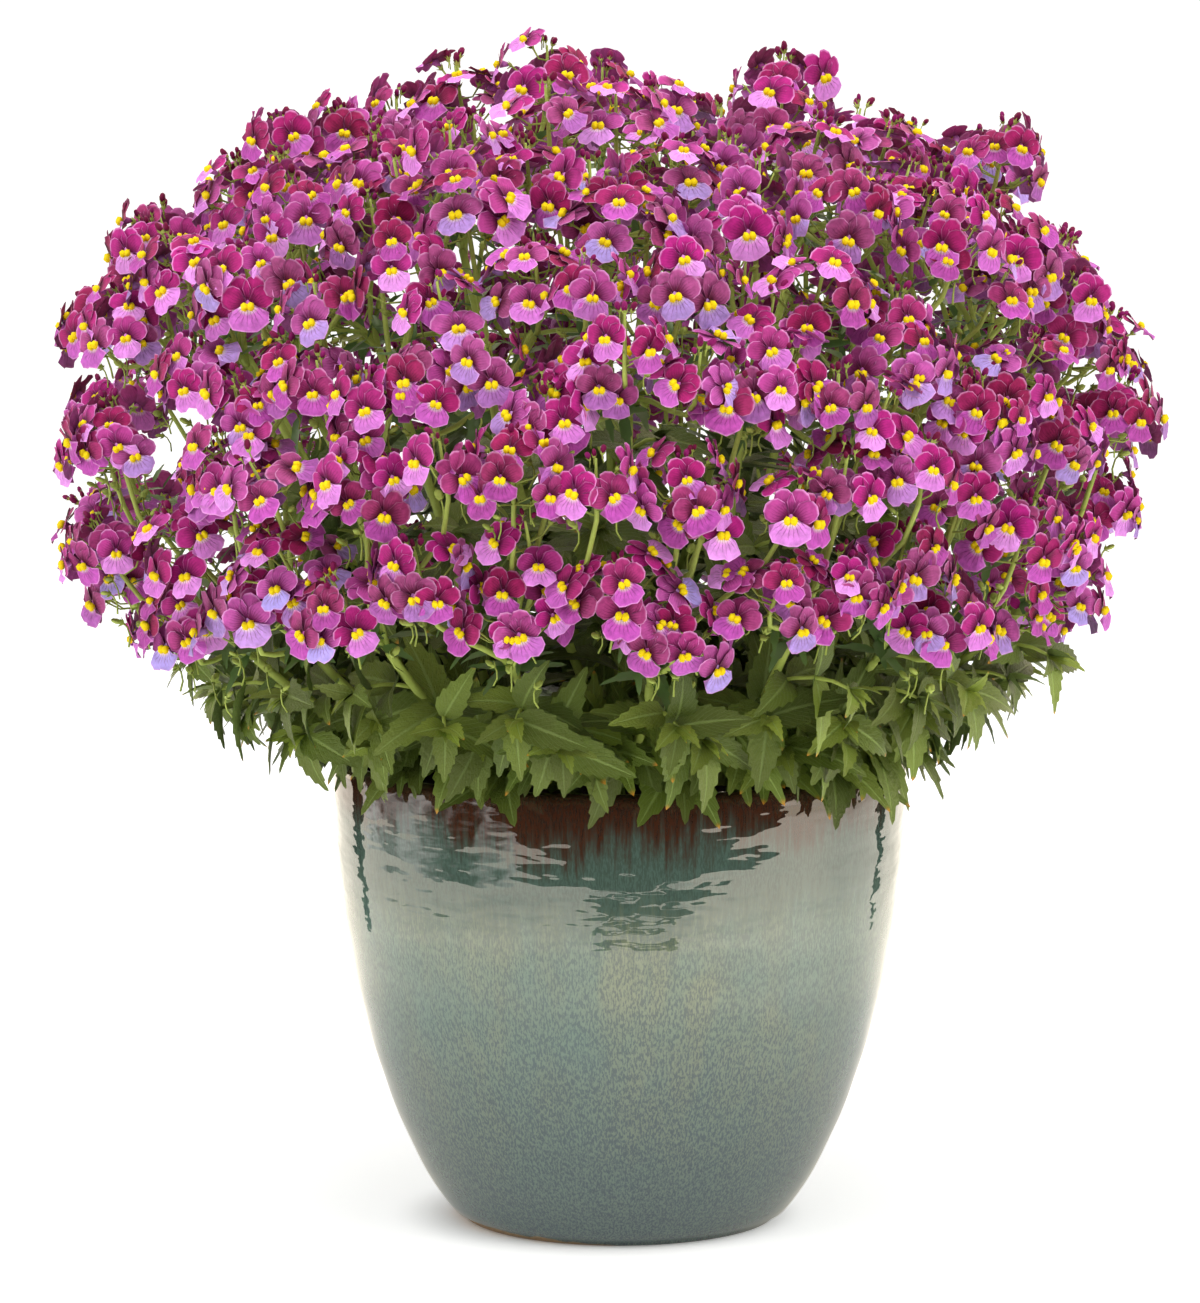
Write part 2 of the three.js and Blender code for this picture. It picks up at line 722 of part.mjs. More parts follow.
const plant = new THREE.Group();
plant.add(meshOf("pot", pot, materials.glaze));
plant.add(meshOf("soil", soil, materials.soil));
stems.forEach((index) => {
  plant.add(meshOf("leafy_stem_" + twoFigures(index + 1), makeLeafyStem(index, bunches, around), materials.leaf));
});
bunchSolids.forEach((solid, index) => {
  plant.add(meshOf("bunch_" + twoFigures(index + 1), solid, materials.petal));
});

export default plant;
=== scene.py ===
from math import atan2, cos, degrees, pi, radians, sin

import bmesh
import bpy
from mathutils import Matrix, Vector


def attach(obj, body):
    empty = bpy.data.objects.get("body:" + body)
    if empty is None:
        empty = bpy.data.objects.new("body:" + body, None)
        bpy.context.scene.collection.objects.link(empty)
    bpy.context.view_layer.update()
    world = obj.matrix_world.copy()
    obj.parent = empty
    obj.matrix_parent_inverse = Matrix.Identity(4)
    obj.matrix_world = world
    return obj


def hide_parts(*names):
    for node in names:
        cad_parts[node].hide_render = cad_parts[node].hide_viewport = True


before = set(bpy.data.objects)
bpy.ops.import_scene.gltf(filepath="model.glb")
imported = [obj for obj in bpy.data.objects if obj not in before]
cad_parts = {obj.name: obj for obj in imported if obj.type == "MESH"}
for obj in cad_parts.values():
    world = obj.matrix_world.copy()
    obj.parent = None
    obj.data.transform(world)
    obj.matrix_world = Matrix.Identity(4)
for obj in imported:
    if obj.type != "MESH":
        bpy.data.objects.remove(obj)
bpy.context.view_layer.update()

bl_info = {
    "name": "Potted Nemesia",
    "version": (1, 0, 0),
    "blender": (4, 5, 0),
    "location": "3D View > Sidebar > Nemesia",
    "description": "Dresses the potted nemesia: glazed pot, soil, leafy shoots and two-lipped blooms",
    "category": "Object",
}

# Sizes that the solids share. Millimetres and degrees, as in the part's source.

MM = 0.001
POT_HEIGHT = 195
RIM_RADIUS = 120
FOOT_RADIUS = 66
FOOT_RING_WIDTH = 12
FOOT_RECESS = 4
FLOOR_TOP = 14
WALL = 11
DRAIN_RADIUS = 10
BELLY = 0.73
SOIL_EDGE = 170
SOIL_CROWN = 176
DOME_CENTRE = Vector((-5, 0, 300))
DOME_RADIUS = 217
DOME_RISE = 160
DOME_DROOP = 140
DOME_ROUNDNESS = 0.78
DOME_TUCK = 3
FOCUS = Vector((0, 0, 90))
LAYOUT = 46
COLUMNS = 20
UPPER_ROWS = (42, 55, 68)
LOWER_ROWS = (81, 90.2, 102)
INNER_BUNCHES = 6
INNER_ROWS = (4, 14, 27)
TOP_TURN = 10
ODD_TURN = 14
SIDE_DRAW = 15
PROUD_DRAW = 18
PROUD_LEAST = -12
SPIRE_SHARE = 0.1
SPIRE_EXTRA = 16
TALLEST_BUNCH = 3
TALLEST_EXTRA = 22
FORK_DEPTH = 40
OUTER_STEMS = 10
INNER_STEMS = 2
CROWN_HEIGHT = 200
INNER_CROWN_RADIUS = 30
OUTER_CROWN_RADIUS = 80
ROOT_SHARE = 0.85
BRANCH_BEND = 0.45
STEM_GAP = 0.6
LOW_FORK = 280
UP = Vector((0, 0, 1))

# Sizes of the scene's own shapes, in the same units.

LIP_RADIUS = 5.5
WALL_STEPS = 48
RIPPLE_HEIGHT = 4.3
DRAWN_BLOOM_WIDTH = 20
PETAL_THICKNESS = 0.4
HEAD_FOOT = 14
HEAD_TIP = 11
WALL_CLEARANCE = 1.5
SOIL_CLEARANCE = 4
DEEP_HEIGHT = 240
DEEP_RADIUS = 118
HIGH_FORK = 320
ROOT_DEPTH = 20
COLLAR_RADIUS = 88
COLLAR_HEIGHT = 206
COLLAR_TURNS = (-14, -5, 4, 13)
BLOOM_KINDS = 6
NODDING_SHARE = 0.38
LIFT_IN_FRONT = 0.07

# The latitudes from which a head stands on the side, in the low rows and in the bottom row.

SIDE_LATITUDE = 60
LOW_LATITUDE = 80
BOTTOM_LATITUDE = 95

# How far a flank is drawn in, under what height that starts and over what height it grows. The first goes for
# both sides, and the second adds to it on the right.

DRAW_IN = ((14, 300, 45), (20, 360, 70))

# For each row of heads, how much lower the small heads beside it stand and how far round they are turned.

BESIDE = {14: ((7, 30),), 27: ((7.5, 10),), 42: ((-7, 9),), 55: ((6, 9),), 68: ((6.5, 9), (1, 4)),
          81: ((5, 9), (-6, 3)), 90.2: ((-4.5, 9),)}

# The order of the materials on a piece of blooms and on a piece of shoots, and the seeds of the draws.

PETAL, PALATE, STALK, SMALL_LEAF = range(4)
STEM, LEAF = range(2)
SOIL_SEED = 5
BLOOM_SEED = 7000
SHOOT_SEED = 9000


# The layout, drawn by the same rule as the solids.

def draws(seed):
    """Numbers from 0 to 1 that come out the same on every run."""
    prime = 2147483647
    state = (seed * 48271 + 7) % prime

    def draw():
        nonlocal state
        state = state * 16807 % prime
        return state / prime

    return draw


def polar(radius, azimuth, height):
    """The point at a radius and a height, turned round the pot's axis by an azimuth in degrees."""
    turn = radians(azimuth)
    return Vector((radius * cos(turn), radius * sin(turn), height))


def dome_point(latitude, azimuth):
    """A point of the crown's outline, at a latitude that counts down from the top."""
    cosine = cos(radians(latitude))
    across = sin(radians(latitude)) ** (DOME_ROUNDNESS if cosine > 0 else DOME_TUCK)
    rise = DOME_RISE if cosine > 0 else -DOME_DROOP
    return polar(DOME_RADIUS * across, azimuth, rise * abs(cosine) ** DOME_ROUNDNESS) + DOME_CENTRE


def place_head(place, draw):
    latitude, azimuth, extra = (*place, 0)[:3]
    drawn = [draw() for _ in range(5)]
    spot = dome_point(latitude, azimuth)
    axis = (spot - FOCUS).normalized()
    spire = extra or (SPIRE_EXTRA if drawn[3] < SPIRE_SHARE else 0)
    east = UP.cross(axis).normalized()
    centre = (spot + east * (drawn[0] - 0.5) * SIDE_DRAW + axis.cross(east) * (drawn[1] - 0.5) * SIDE_DRAW
              + axis * (PROUD_LEAST + PROUD_DRAW * drawn[2] + spire))
    return {"centre": centre, "axis": axis, "latitude": latitude, "azimuth": azimuth}


def place_bunch(stem, places, seed):
    draw = draws(seed)
    heads = [place_head(place, draw) for place in places]
    middle = sum((head["centre"] for head in heads), Vector()) / len(heads)
    axis = (middle - FOCUS).normalized()
    lowest = min((head["centre"] - middle).dot(axis) for head in heads)
    return {"stem": stem, "heads": heads, "axis": axis, "fork": middle + axis * (lowest - FORK_DEPTH)}


def lay_out():
    """The inner bunches, and then an upper and a lower bunch in each column round the crown."""
    bunches = []
    inner = 360 / INNER_BUNCHES
    for k in range(INNER_BUNCHES):
        azimuth = inner * (k + 0.5)
        places = [(INNER_ROWS[1], azimuth + (ODD_TURN if k % 2 else 0)),
                  (INNER_ROWS[2], azimuth - inner / 4),
                  (INNER_ROWS[2], azimuth + inner / 4)]
        if k % 2:
            extra = TALLEST_EXTRA if k == TALLEST_BUNCH else 0
            places.append((INNER_ROWS[0], azimuth - TOP_TURN, extra))
        bunches.append((OUTER_STEMS + k * INNER_STEMS // INNER_BUNCHES, places))
    step = 360 / COLUMNS
    for k in range(COLUMNS):
        stem = k * OUTER_STEMS // COLUMNS
        for rows, turns in ((UPPER_ROWS, (0, 0.5, 0)), (LOWER_ROWS, (0.5, 0, 0.5))):
            bunches.append((stem, [(row, step * (k + turn)) for row, turn in zip(rows, turns)]))
    return [place_bunch(*bunch, 100 * LAYOUT + seed) for seed, bunch in enumerate(bunches, 1)]


def root_ends(index, depth):
    """The foot of a stem's root at a depth in the soil, and its crown above the rim."""
    outer = index < OUTER_STEMS
    turn = (index + 0.5) / OUTER_STEMS if outer else (index - OUTER_STEMS + 0.5) / INNER_STEMS
    radius = OUTER_CROWN_RADIUS if outer else INNER_CROWN_RADIUS
    foot = polar(radius * ROOT_SHARE, 360 * turn, SOIL_EDGE - depth)
    return foot, polar(radius, 360 * turn, CROWN_HEIGHT)


def bezier(points, share):
    """The point of a curve with these control points at a share of its way."""
    while len(points) > 1:
        points = [a.lerp(b, share) for a, b in zip(points, points[1:])]
    return points[0]


def branch_curve(bunch):
    """The control points of the branch from a stem's crown to a bunch's fork."""
    crown = root_ends(bunch["stem"], 0)[1]
    tip = bunch["fork"] - bunch["axis"] * STEM_GAP
    return [crown, tip - bunch["axis"] * BRANCH_BEND * (tip - crown).length, tip]


def draw_in(spot):
    """How far in from the dome a head on a flank stands: low on both sides, and higher up on the right."""
    both, right = (far * min(1.0, max(0.0, (start - spot.z) / span)) for far, start, span in DRAW_IN)
    flank = (spot.x / DOME_RADIUS) ** 2
    return (both + right) * flank if spot.x > 0 else -both * flank


BUNCHES = lay_out()


# What a user may change.

def length(name, default, description):
    return bpy.props.FloatProperty(name=name, default=default, min=0.0001, unit="LENGTH",
                                   description=description)


def plain(name, default, description, high=1.0):
    return bpy.props.FloatProperty(name=name, default=default, min=0, max=high, description=description)


def power(name, default, description):
    return bpy.props.FloatProperty(name=name, default=default, min=0, unit="POWER", description=description)


def number(name, default, low, high, description):
    return bpy.props.IntProperty(name=name, default=default, min=low, max=high, description=description)


def linear(code):
    """The scene colour of a written web colour."""
    parts = [int(code[i:i + 2], 16) / 255 for i in (1, 3, 5)]
    return [c / 12.92 if c <= 0.04045 else ((c + 0.055) / 1.055) ** 2.4 for c in parts]


def tint(name, code, description):
    return bpy.props.FloatVectorProperty(name=name, subtype="COLOR", size=3, min=0, max=1,
                                         default=linear(code), description=description)


class NemesiaBlooms(bpy.types.PropertyGroup):
    bloom_width: length("Bloom width", 0.0181, "Width of an open bloom across its side lobes")
    ring_blooms: number("Ring blooms", 7, 3, 8, "Blooms in the lower ring of a head")
    top_blooms: number("Top blooms", 3, 0, 5, "Younger blooms above that ring")
    side_blooms: number("Side blooms", 4, 0, 6, "Blooms of each small head beside an outer head")
    upper_lip: tint("Upper lip", "#a62066", "Colour of the upper lobes of a young bloom")
    old_upper_lip: tint("Old upper lip", "#b0508f", "Colour that the upper lobes turn to with age")
    upper_throat: tint("Upper throat", "#52082f", "Colour of the upper lobes near the throat")
    lower_lip: tint("Lower lip", "#be50b3", "Colour of the lower lip of a young bloom")
    pale_lip: tint("Pale lip", "#d28acd", "Colour of the palest young lower lips")
    faded_lip: tint("Faded lip", "#ac93d6", "Colour that the lower lip fades to with age")
    petal_edge: tint("Petal edge", "#e2a2d4", "Thin pale edge of every lobe")
    palate: tint("Palate", "#fce31a", "Colour of the two cushions in the throat")


class NemesiaShoots(bpy.types.PropertyGroup):
    leaf_length: length("Leaf length", 0.038, "Length of a leaf low on a stem")
    leaf_share: plain("Leaf width", 0.44, "Width of a leaf as a share of its length")
    leaf_gap: length("Leaf gap", 0.015, "Length of stem between two pairs of leaves")
    old_leaf: tint("Old leaf", "#586c25", "Colour of a grown leaf")
    young_leaf: tint("Young leaf", "#9dae43", "Colour of a leaf near a tip")
    stem: tint("Stem", "#c2d468", "Colour of the stems and flower stalks")


class NemesiaPot(bpy.types.PropertyGroup):
    rim_glaze: tint("Rim glaze", "#46281a", "Colour where the glaze broke brown at the rim")
    run_glaze: tint("Run glaze", "#45564c", "Dark teal that runs down from the rim")
    body_glaze: tint("Body glaze", "#768975", "Celadon of the body")
    low_glaze: tint("Low glaze", "#2f4151", "Blue grey flecks that thicken towards the foot")
    clay: tint("Clay", "#8d7556", "Bare clay of the foot ring")
    gloss: plain("Gloss", 0.03, "Roughness of the glaze")
    ripple: length("Ripple", 0.0002, "Height of the throwing ripples")


class NemesiaStudio(bpy.types.PropertyGroup):
    floor_colour: tint("Floor", "#fcfcfc", "Colour of the floor")
    room_light: plain("Room light", 0.6, "Strength of the white room round the pot", high=4.0)
    key_power: power("Top light", 30, "Power of the soft light overhead")
    side_power: power("Side lights", 10, "Power of each soft light beside the pot")


# Mesh tools.

MARKS = ("Part", "Back", "Age", "Draw")


def new_bmesh():
    """An empty mesh with the UV map and the marks that the plant's materials read."""
    bm = bmesh.new()
    bm.loops.layers.uv.new("Sheet")
    for name in MARKS:
        bm.faces.layers.float.new(name)
    return bm


def mark(bm, faces, **marks):
    """Writes marks on faces, as the materials read them."""
    for name, value in marks.items():
        layer = bm.faces.layers.float[name]
        for face in faces:
            face[layer] = value


def faces_of(verts):
    return list({face for vert in verts for face in vert.link_faces})


def sheet(bm, columns, rows, thickness, place, part=0.0):
    """A closed thin blade: place(across, along) gives its front, and a back skin meets it at the edge."""
    made = bmesh.ops.create_grid(bm, x_segments=columns, y_segments=rows, size=0.5, calc_uvs=True)["verts"]
    for vert in made:
        vert.co = place(vert.co.x + 0.5, vert.co.y + 0.5)
    front = faces_of(made)
    bmesh.ops.recalc_face_normals(bm, faces=front)
    if sum((face.normal for face in front), Vector()).z < 0:
        bmesh.ops.reverse_faces(bm, faces=front)
    mark(bm, front, Part=part)
    copy = bmesh.ops.duplicate(bm, geom=front)["geom"]
    back = [item for item in copy if isinstance(item, bmesh.types.BMFace)]
    bmesh.ops.reverse_faces(bm, faces=back)
    mark(bm, back, Back=1.0)
    behind = list({vert for face in back for vert in face.verts})
    for vert in behind:
        vert.normal_update()
    for vert in behind:
        if not vert.is_boundary:
            vert.co += vert.normal * thickness
    bmesh.ops.remove_doubles(bm, verts=made + behind, dist=1e-4 * thickness)
    layer = bm.faces.layers.float["Back"]
    for edge in {edge for face in front + back for edge in face.edges}:
        edge.smooth = len({face[layer] for face in edge.link_faces}) < 2


def mesh_of(name, bm):
    """Keeps a bmesh as a mesh, for a piece or as a pattern that is placed many times."""
    mesh = bpy.data.meshes.new(name)
    bm.to_mesh(mesh)
    bm.free()
    return mesh


def put(bm, mesh, matrix, age, chance):
    """Adds a placed copy of a pattern, with its own age and chance."""
    verts, faces = len(bm.verts), len(bm.faces)
    bm.from_mesh(mesh)
    bm.verts.ensure_lookup_table()
    bm.faces.ensure_lookup_table()
    bmesh.ops.transform(bm, matrix=matrix, verts=bm.verts[verts:])
    mark(bm, bm.faces[faces:], Age=age, Draw=chance)


def basis(facing, upper, spot, size):
    """The matrix that turns a pattern's Z to facing and its Y towards upper."""
    across = upper.cross(facing).normalized()
    rise = facing.cross(across).normalized()
    turn = Matrix((across, rise, facing.normalized())).transposed().to_4x4()
    return Matrix.Translation(spot) @ turn @ Matrix.Scale(size, 4)


def sweep(bm, path, radii, sides, material, age=0.0, chance=0.5):
    """A closed rod along a path, made from one ring that is drawn out step by step."""
    def ring_at(k):
        along = (path[min(k + 1, len(path) - 1)] - path[max(k - 1, 0)]).normalized()
        return basis(along, across, path[k], radii[k])

    across = (path[1] - path[0]).orthogonal().normalized()
    spot = ring_at(0)
    verts = bmesh.ops.create_circle(bm, cap_ends=False, segments=sides, radius=1, matrix=spot)["verts"]
    first = edges = list({edge for vert in verts for edge in vert.link_edges})
    everything = list(verts)
    for k in range(1, len(path)):
        grown = bmesh.ops.extrude_edge_only(bm, edges=edges)["geom"]
        verts = [item for item in grown if isinstance(item, bmesh.types.BMVert)]
        edges = [item for item in grown if isinstance(item, bmesh.types.BMEdge)]
        after = ring_at(k)
        bmesh.ops.transform(bm, matrix=after @ spot.inverted(), verts=verts)
        spot = after
        everything += verts
    for ends in (first, edges):
        bmesh.ops.edgenet_fill(bm, edges=ends)
    faces = faces_of(everything)
    bmesh.ops.recalc_face_normals(bm, faces=faces)
    for face in faces:
        face.material_index = material
    mark(bm, faces, Age=age, Draw=chance)


def new_piece(name, bm, materials):
    """An object of a bmesh, in the scene, with its place in its mesh."""
    mesh = mesh_of(name, bm)
    for material in materials:
        mesh.materials.append(material)
    piece = bpy.data.objects.new(name, mesh)
    bpy.context.scene.collection.objects.link(piece)
    return piece


def finish(name, bm, materials, slot, *nodes):
    """Makes the smooth object in metres, hangs it on the frame and lets it stand for its solids."""
    bmesh.ops.scale(bm, vec=(MM, MM, MM), verts=bm.verts)
    for face in bm.faces:
        face.smooth = True
    piece = new_piece(name, bm, materials)
    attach(piece, "root")
    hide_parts(*nodes)


# Patterns of the plant.

def lobe(bm, angle, reach, half, root, lean, wave):
    """One round lobe of the upper lip, from root outwards at an angle from straight up."""
    out = Vector((sin(radians(angle)), cos(radians(angle)), 0))
    side = Vector((out.y, -out.x, 0))

    def place(across, along):
        u = 2 * across - 1
        tip = max(0.0, 2 * along - 1)
        round_off = 0.62 + 0.38 * cos(1.3 * u)
        far = along * (0.84 if along < 0.9 else round_off)
        width = half * ((0.38 + 1.24 * along) * (1 - tip) * u + tip * 0.98 * sin(1.3 * u))
        height = lean * far + 1.0 * u * u * along + wave * (sin(4 * u) - 0.5) * tip - 0.5 * tip
        return root + out * reach * far + side * width + Vector((0, 0, height))

    sheet(bm, 4, 2, PETAL_THICKNESS, place)


def lower_lip(bm, reach, spread, lean, wave, notch, twist):
    """The broad lower lip, which fans out under the throat and ends in a waved, faintly notched edge."""
    throat = 2.6

    def place(across, along):
        u = 2 * across - 1
        turn = radians(spread) * u * (1.12 - 0.08 * along) + radians(twist) * along
        far = throat + (reach - throat) * along * (1 - notch * along * max(0.0, 1 - abs(u) * 2.5))
        far *= 1 - along * (0.25 * u ** 4 + 0.035 * cos(3.2 * pi * u + wave))
        drop = lean * (1.6 * along - 0.9 * along * along) - 1.5 * u * u * along * along
        height = 0.8 + drop + wave * cos(3 * pi * u) * along * along
        return Vector((far * sin(turn), 0.8 - far * cos(turn), height))

    sheet(bm, 8, 2, PETAL_THICKNESS, place, 1.0)


def settle(bm, verts, size, spot, along, material):
    """Sizes and places a plain shape, and lets its faces take the colour that a sheet has so far along."""
    bmesh.ops.scale(bm, vec=size, verts=verts)
    bmesh.ops.translate(bm, vec=spot, verts=verts)
    uv = bm.loops.layers.uv["Sheet"]
    for face in faces_of(verts):
        face.material_index = material
        for loop in face.loops:
            loop[uv].uv = (0.5, along)


def bloom_pattern(seed):
    """An open bloom, facing +Z with its upper lip towards +Y."""
    draw = draws(seed)

    def about(value, spread):
        return value * (1 + spread * (2 * draw() - 1))

    bm = new_bmesh()
    for side in (-1, 1):
        root = Vector((side * 0.9, 0.9, -0.5 + 0.25 * side))
        lobe(bm, side * about(17, 0.3), about(9.9, 0.1), about(3.9, 0.12), root, about(-2.4, 0.5),
             about(0.4, 1))
        root = Vector((side * 1.3, 0.3, 0.1))
        lobe(bm, side * about(66, 0.12), about(9.0, 0.1), about(4.5, 0.12), root, about(-0.7, 1.6),
             about(0.5, 1))
    lower_lip(bm, about(11.2, 0.08), about(59, 0.1), about(2.6, 0.6), about(0.9, 0.6), about(0.13, 0.7),
              12 * (draw() - 0.5))
    for side in (-1, 1):
        cushion = bmesh.ops.create_icosphere(bm, subdivisions=1, radius=1)["verts"]
        settle(bm, cushion, (1.58, 2.03, 1.8), (side * 1.25, -0.6, 1.4), 0.5, PALATE)
    tube = bmesh.ops.create_cone(bm, cap_ends=True, segments=5, radius1=1.0, radius2=2.2, depth=4)["verts"]
    settle(bm, tube, (1, 1, 1), (0, -0.3, -2.2), 0.5, PETAL)
    mark(bm, faces_of(tube), Back=1.0, Part=1.0)
    calyx(bm, Vector((0, -0.6, -4.6)), 2.6, 2.6)
    return mesh_of("pattern", bm)


def calyx(bm, spot, radius, depth):
    """Five green sepals round the back of a bloom or pod."""
    verts = bmesh.ops.create_cone(bm, cap_ends=False, segments=10, radius1=0.7, radius2=radius,
                                  depth=depth)["verts"]
    outer = sorted((v for v in verts if v.co.z > 0), key=lambda v: atan2(v.co.y, v.co.x))
    for vert in outer[::2]:
        vert.co = Vector((vert.co.x * 0.5, vert.co.y * 0.5, -0.1 * depth))
    bmesh.ops.translate(bm, vec=spot, verts=verts)
    for face in faces_of(verts):
        face.material_index = STALK


def bud_pattern():
    """A closed bud, with its tip towards +Z."""
    bm = new_bmesh()
    bud = bmesh.ops.create_uvsphere(bm, u_segments=5, v_segments=4, radius=1)["verts"]
    settle(bm, bud, (1.25, 1.5, 2.2), (0, 0.3, 1.2), 0.3, PETAL)
    calyx(bm, Vector((0, 0, -0.4)), 1.7, 2.4)
    stalk = [Vector((0, 0, -1.2)), Vector((0, -0.6, -3)), Vector((0, -2, -5))]
    sweep(bm, stalk, (0.4, 0.35, 0.35), 3, STALK)
    return mesh_of("pattern", bm)


def pod_pattern():
    """A flat seed pod in its calyx on a hooked stalk, whose foot is towards -Z."""
    bm = new_bmesh()
    pod = bmesh.ops.create_uvsphere(bm, u_segments=5, v_segments=4, radius=1)["verts"]
    settle(bm, pod, (2.0, 1.1, 2.3), (0, 0, 1.8), 0.5, STALK)
    calyx(bm, Vector((0, 0, 0)), 2.5, 2.0)
    stalk = [Vector((0, 0, -0.6)), Vector((0, -1.2, -2.6)), Vector((0, -4.4, -4.6)), Vector((0, -8.5, -5.0))]
    sweep(bm, stalk, (0.5, 0.42, 0.45, 0.5), 3, STALK)
    return mesh_of("pattern", bm)


def leaf_pattern(bend, fold, share, teeth, material):
    """A toothed leaf one long, which leaves the origin along +Y with its face to +Z and droops in an arc."""
    bm = new_bmesh()
    rows = 2 * teeth
    arc = radians(bend)

    def place(across, along):
        u = 2 * across - 1
        step = round(along * rows)
        width = sin(pi * min(1.0, 0.1 + 0.9 * along ** 0.66))
        width = 0.5 * share * max(width, 0.16 if along < 0.5 else 0.0)
        reach = along
        if 0 < step < rows and abs(u) > 0.9:
            width *= 1.05 if step % 2 else 0.92
            reach += 0.35 / rows if step % 2 else -0.35 / rows
        tilt = arc * reach
        lift = abs(u) * width * fold
        y, z = sin(tilt) / arc, (cos(tilt) - 1) / arc
        return Vector((u * width, y + lift * sin(tilt), z + lift * cos(tilt)))

    sheet(bm, 2, rows, 0.012, place)
    for face in bm.faces:
        face.material_index = material
    return mesh_of("pattern", bm)


# Placing blooms and leaves.

def swing(start, end, angle):
    """The direction that lies at an angle from start towards end, which stands square to it."""
    return start * cos(angle) + end * sin(angle)


def make_head(bm, centre, outwards, bunch, patterns, sizes, draw, rings, buds, pods):
    """A head of blooms on the outer side of its stalk, with buds above and pods below."""
    nodding = draw() < NODDING_SHARE
    lean = 0.76 + 0.2 * draw() if nodding else 0.2 + 0.4 * draw()
    axis = (outwards * lean + UP * (1 - lean)).normalized()
    foot = centre - axis * HEAD_FOOT
    start = bunch["fork"]
    reach = (foot - start).length
    curve = [start, start + bunch["axis"] * reach * 0.4, foot - axis * reach * 0.35, foot]
    path = [bezier(curve, k / 5) for k in range(6)] + [centre, centre + axis * HEAD_TIP]
    sweep(bm, path, [1.3, 1.25, 1.2, 1.15, 1.1, 1.05, 0.8, 0.5], 5, STALK, draw() * 0.4, draw())
    front = outwards - axis * outwards.dot(axis)
    arc = 180 - 62 * min(1.0, front.length / 0.45)
    north = front.normalized()
    east = axis.cross(north)
    scale = sizes.bloom_width / MM / DRAWN_BLOOM_WIDTH
    for count, height, radius, rise, age in rings:
        for k in range(count):
            angle = radians(arc * ((2 * k + 1) / count - 1) + 36 * (draw() - 0.5))
            out = swing(north, east, angle).normalized()
            tilt = radians(rise + 34 * (draw() - 0.5) + (34 if nodding else 0))
            facing = (swing(out, axis, tilt) + front * (0.1 if nodding else 0.5)).normalized()
            upper = axis * cos(tilt) - out * sin(tilt) + axis.cross(out) * 0.9 * (draw() - 0.5)
            up_by = height + 9 * (draw() - 0.5) + (3.5 if k % 2 else -1.5)
            out_by = radius * (0.85 + 0.3 * draw()) * (1 + 0.22 * abs(sin(angle)))
            spot = centre + axis * up_by + out * out_by
            old = min(1, max(0, age + (draw() - 0.5)))
            size = scale * (0.92 + 0.22 * draw()) * (1 if height < 5 else 0.92)
            bloom = patterns["blooms"][int(draw() * len(patterns["blooms"]))]
            place = basis(facing, upper, spot, size)
            put(bm, bloom, place, old, draw())
            joint = centre + axis * max(-HEAD_FOOT, min(9, up_by - 9))
            end = place @ Vector((0, -0.6, -5.2))
            bend = joint.lerp(end, 0.6) - axis * 2.5
            sweep(bm, [joint, bend, end], (0.5, 0.42, 0.55), 3, STALK, draw() * 0.5, draw())
    for k in range(buds):
        angle = radians(360 * k / buds + 30 * draw())
        out = swing(east, north, angle)
        facing = (out * (0.25 + 0.5 * draw()) + axis).normalized()
        spot = centre + axis * (HEAD_TIP + 4.5 * draw()) + out * 3.2
        put(bm, patterns["bud"], basis(facing, -out, spot, 0.65 + 0.5 * draw()), 0.2 * draw(), draw())
    for k in range(pods):
        angle = radians(360 * k / pods + 50 * draw())
        out = swing(east, north, angle)
        facing = (out * 0.9 + axis * 0.6).normalized()
        spot = foot + axis * (2 - 5.5 * k) + out * 9
        put(bm, patterns["pod"], basis(facing, axis, spot, 0.8 + 0.3 * draw()), draw(), draw())


def keeps_off_pot(points):
    """Whether a leaf clears the pot's wall and the soil."""
    inner = RIM_RADIUS - WALL - 3
    for point in points:
        radius = (point.x * point.x + point.y * point.y) ** 0.5
        if inner < radius < RIM_RADIUS + WALL_CLEARANCE and point.z < POT_HEIGHT + WALL_CLEARANCE:
            return False
        if radius <= inner and point.z < SOIL_CROWN + SOIL_CLEARANCE:
            return False
    return True


def put_leaf(bm, patterns, spot, direction, upper, size, droop, age, draw):
    """A leaf is raised step by step until it clears the pot, and left out if it never does.

    Deep inside the crown it is a plainer and larger one, and its colour is darkened there as painted shade.
    """
    inside = Vector((spot.x, spot.y, (spot.z - DEEP_HEIGHT) * 1.2))
    deep = "hidden leaves" in patterns and spot.z > DEEP_HEIGHT - 10 and inside.length < DEEP_RADIUS
    kinds = patterns["hidden leaves" if deep else "leaves"]
    kind = kinds[min(len(kinds) - 1, int(droop * len(kinds)))]
    for raise_by in (0, 0.25, 0.5, 0.8, 1.2):
        aim = (direction + UP * raise_by).normalized()
        face = (upper - aim * upper.dot(aim)).normalized()
        matrix = basis(face, aim, spot, size * (1.15 if deep else 1))
        if keeps_off_pot([matrix @ vert.co for vert in kind.vertices]):
            # Deep leaves take a low draw, which the leaf material turns into a darker tone: painted shade
            # inside the crown.
            put(bm, kind, matrix, age, draw() * (0.3 if deep else 1))
            return


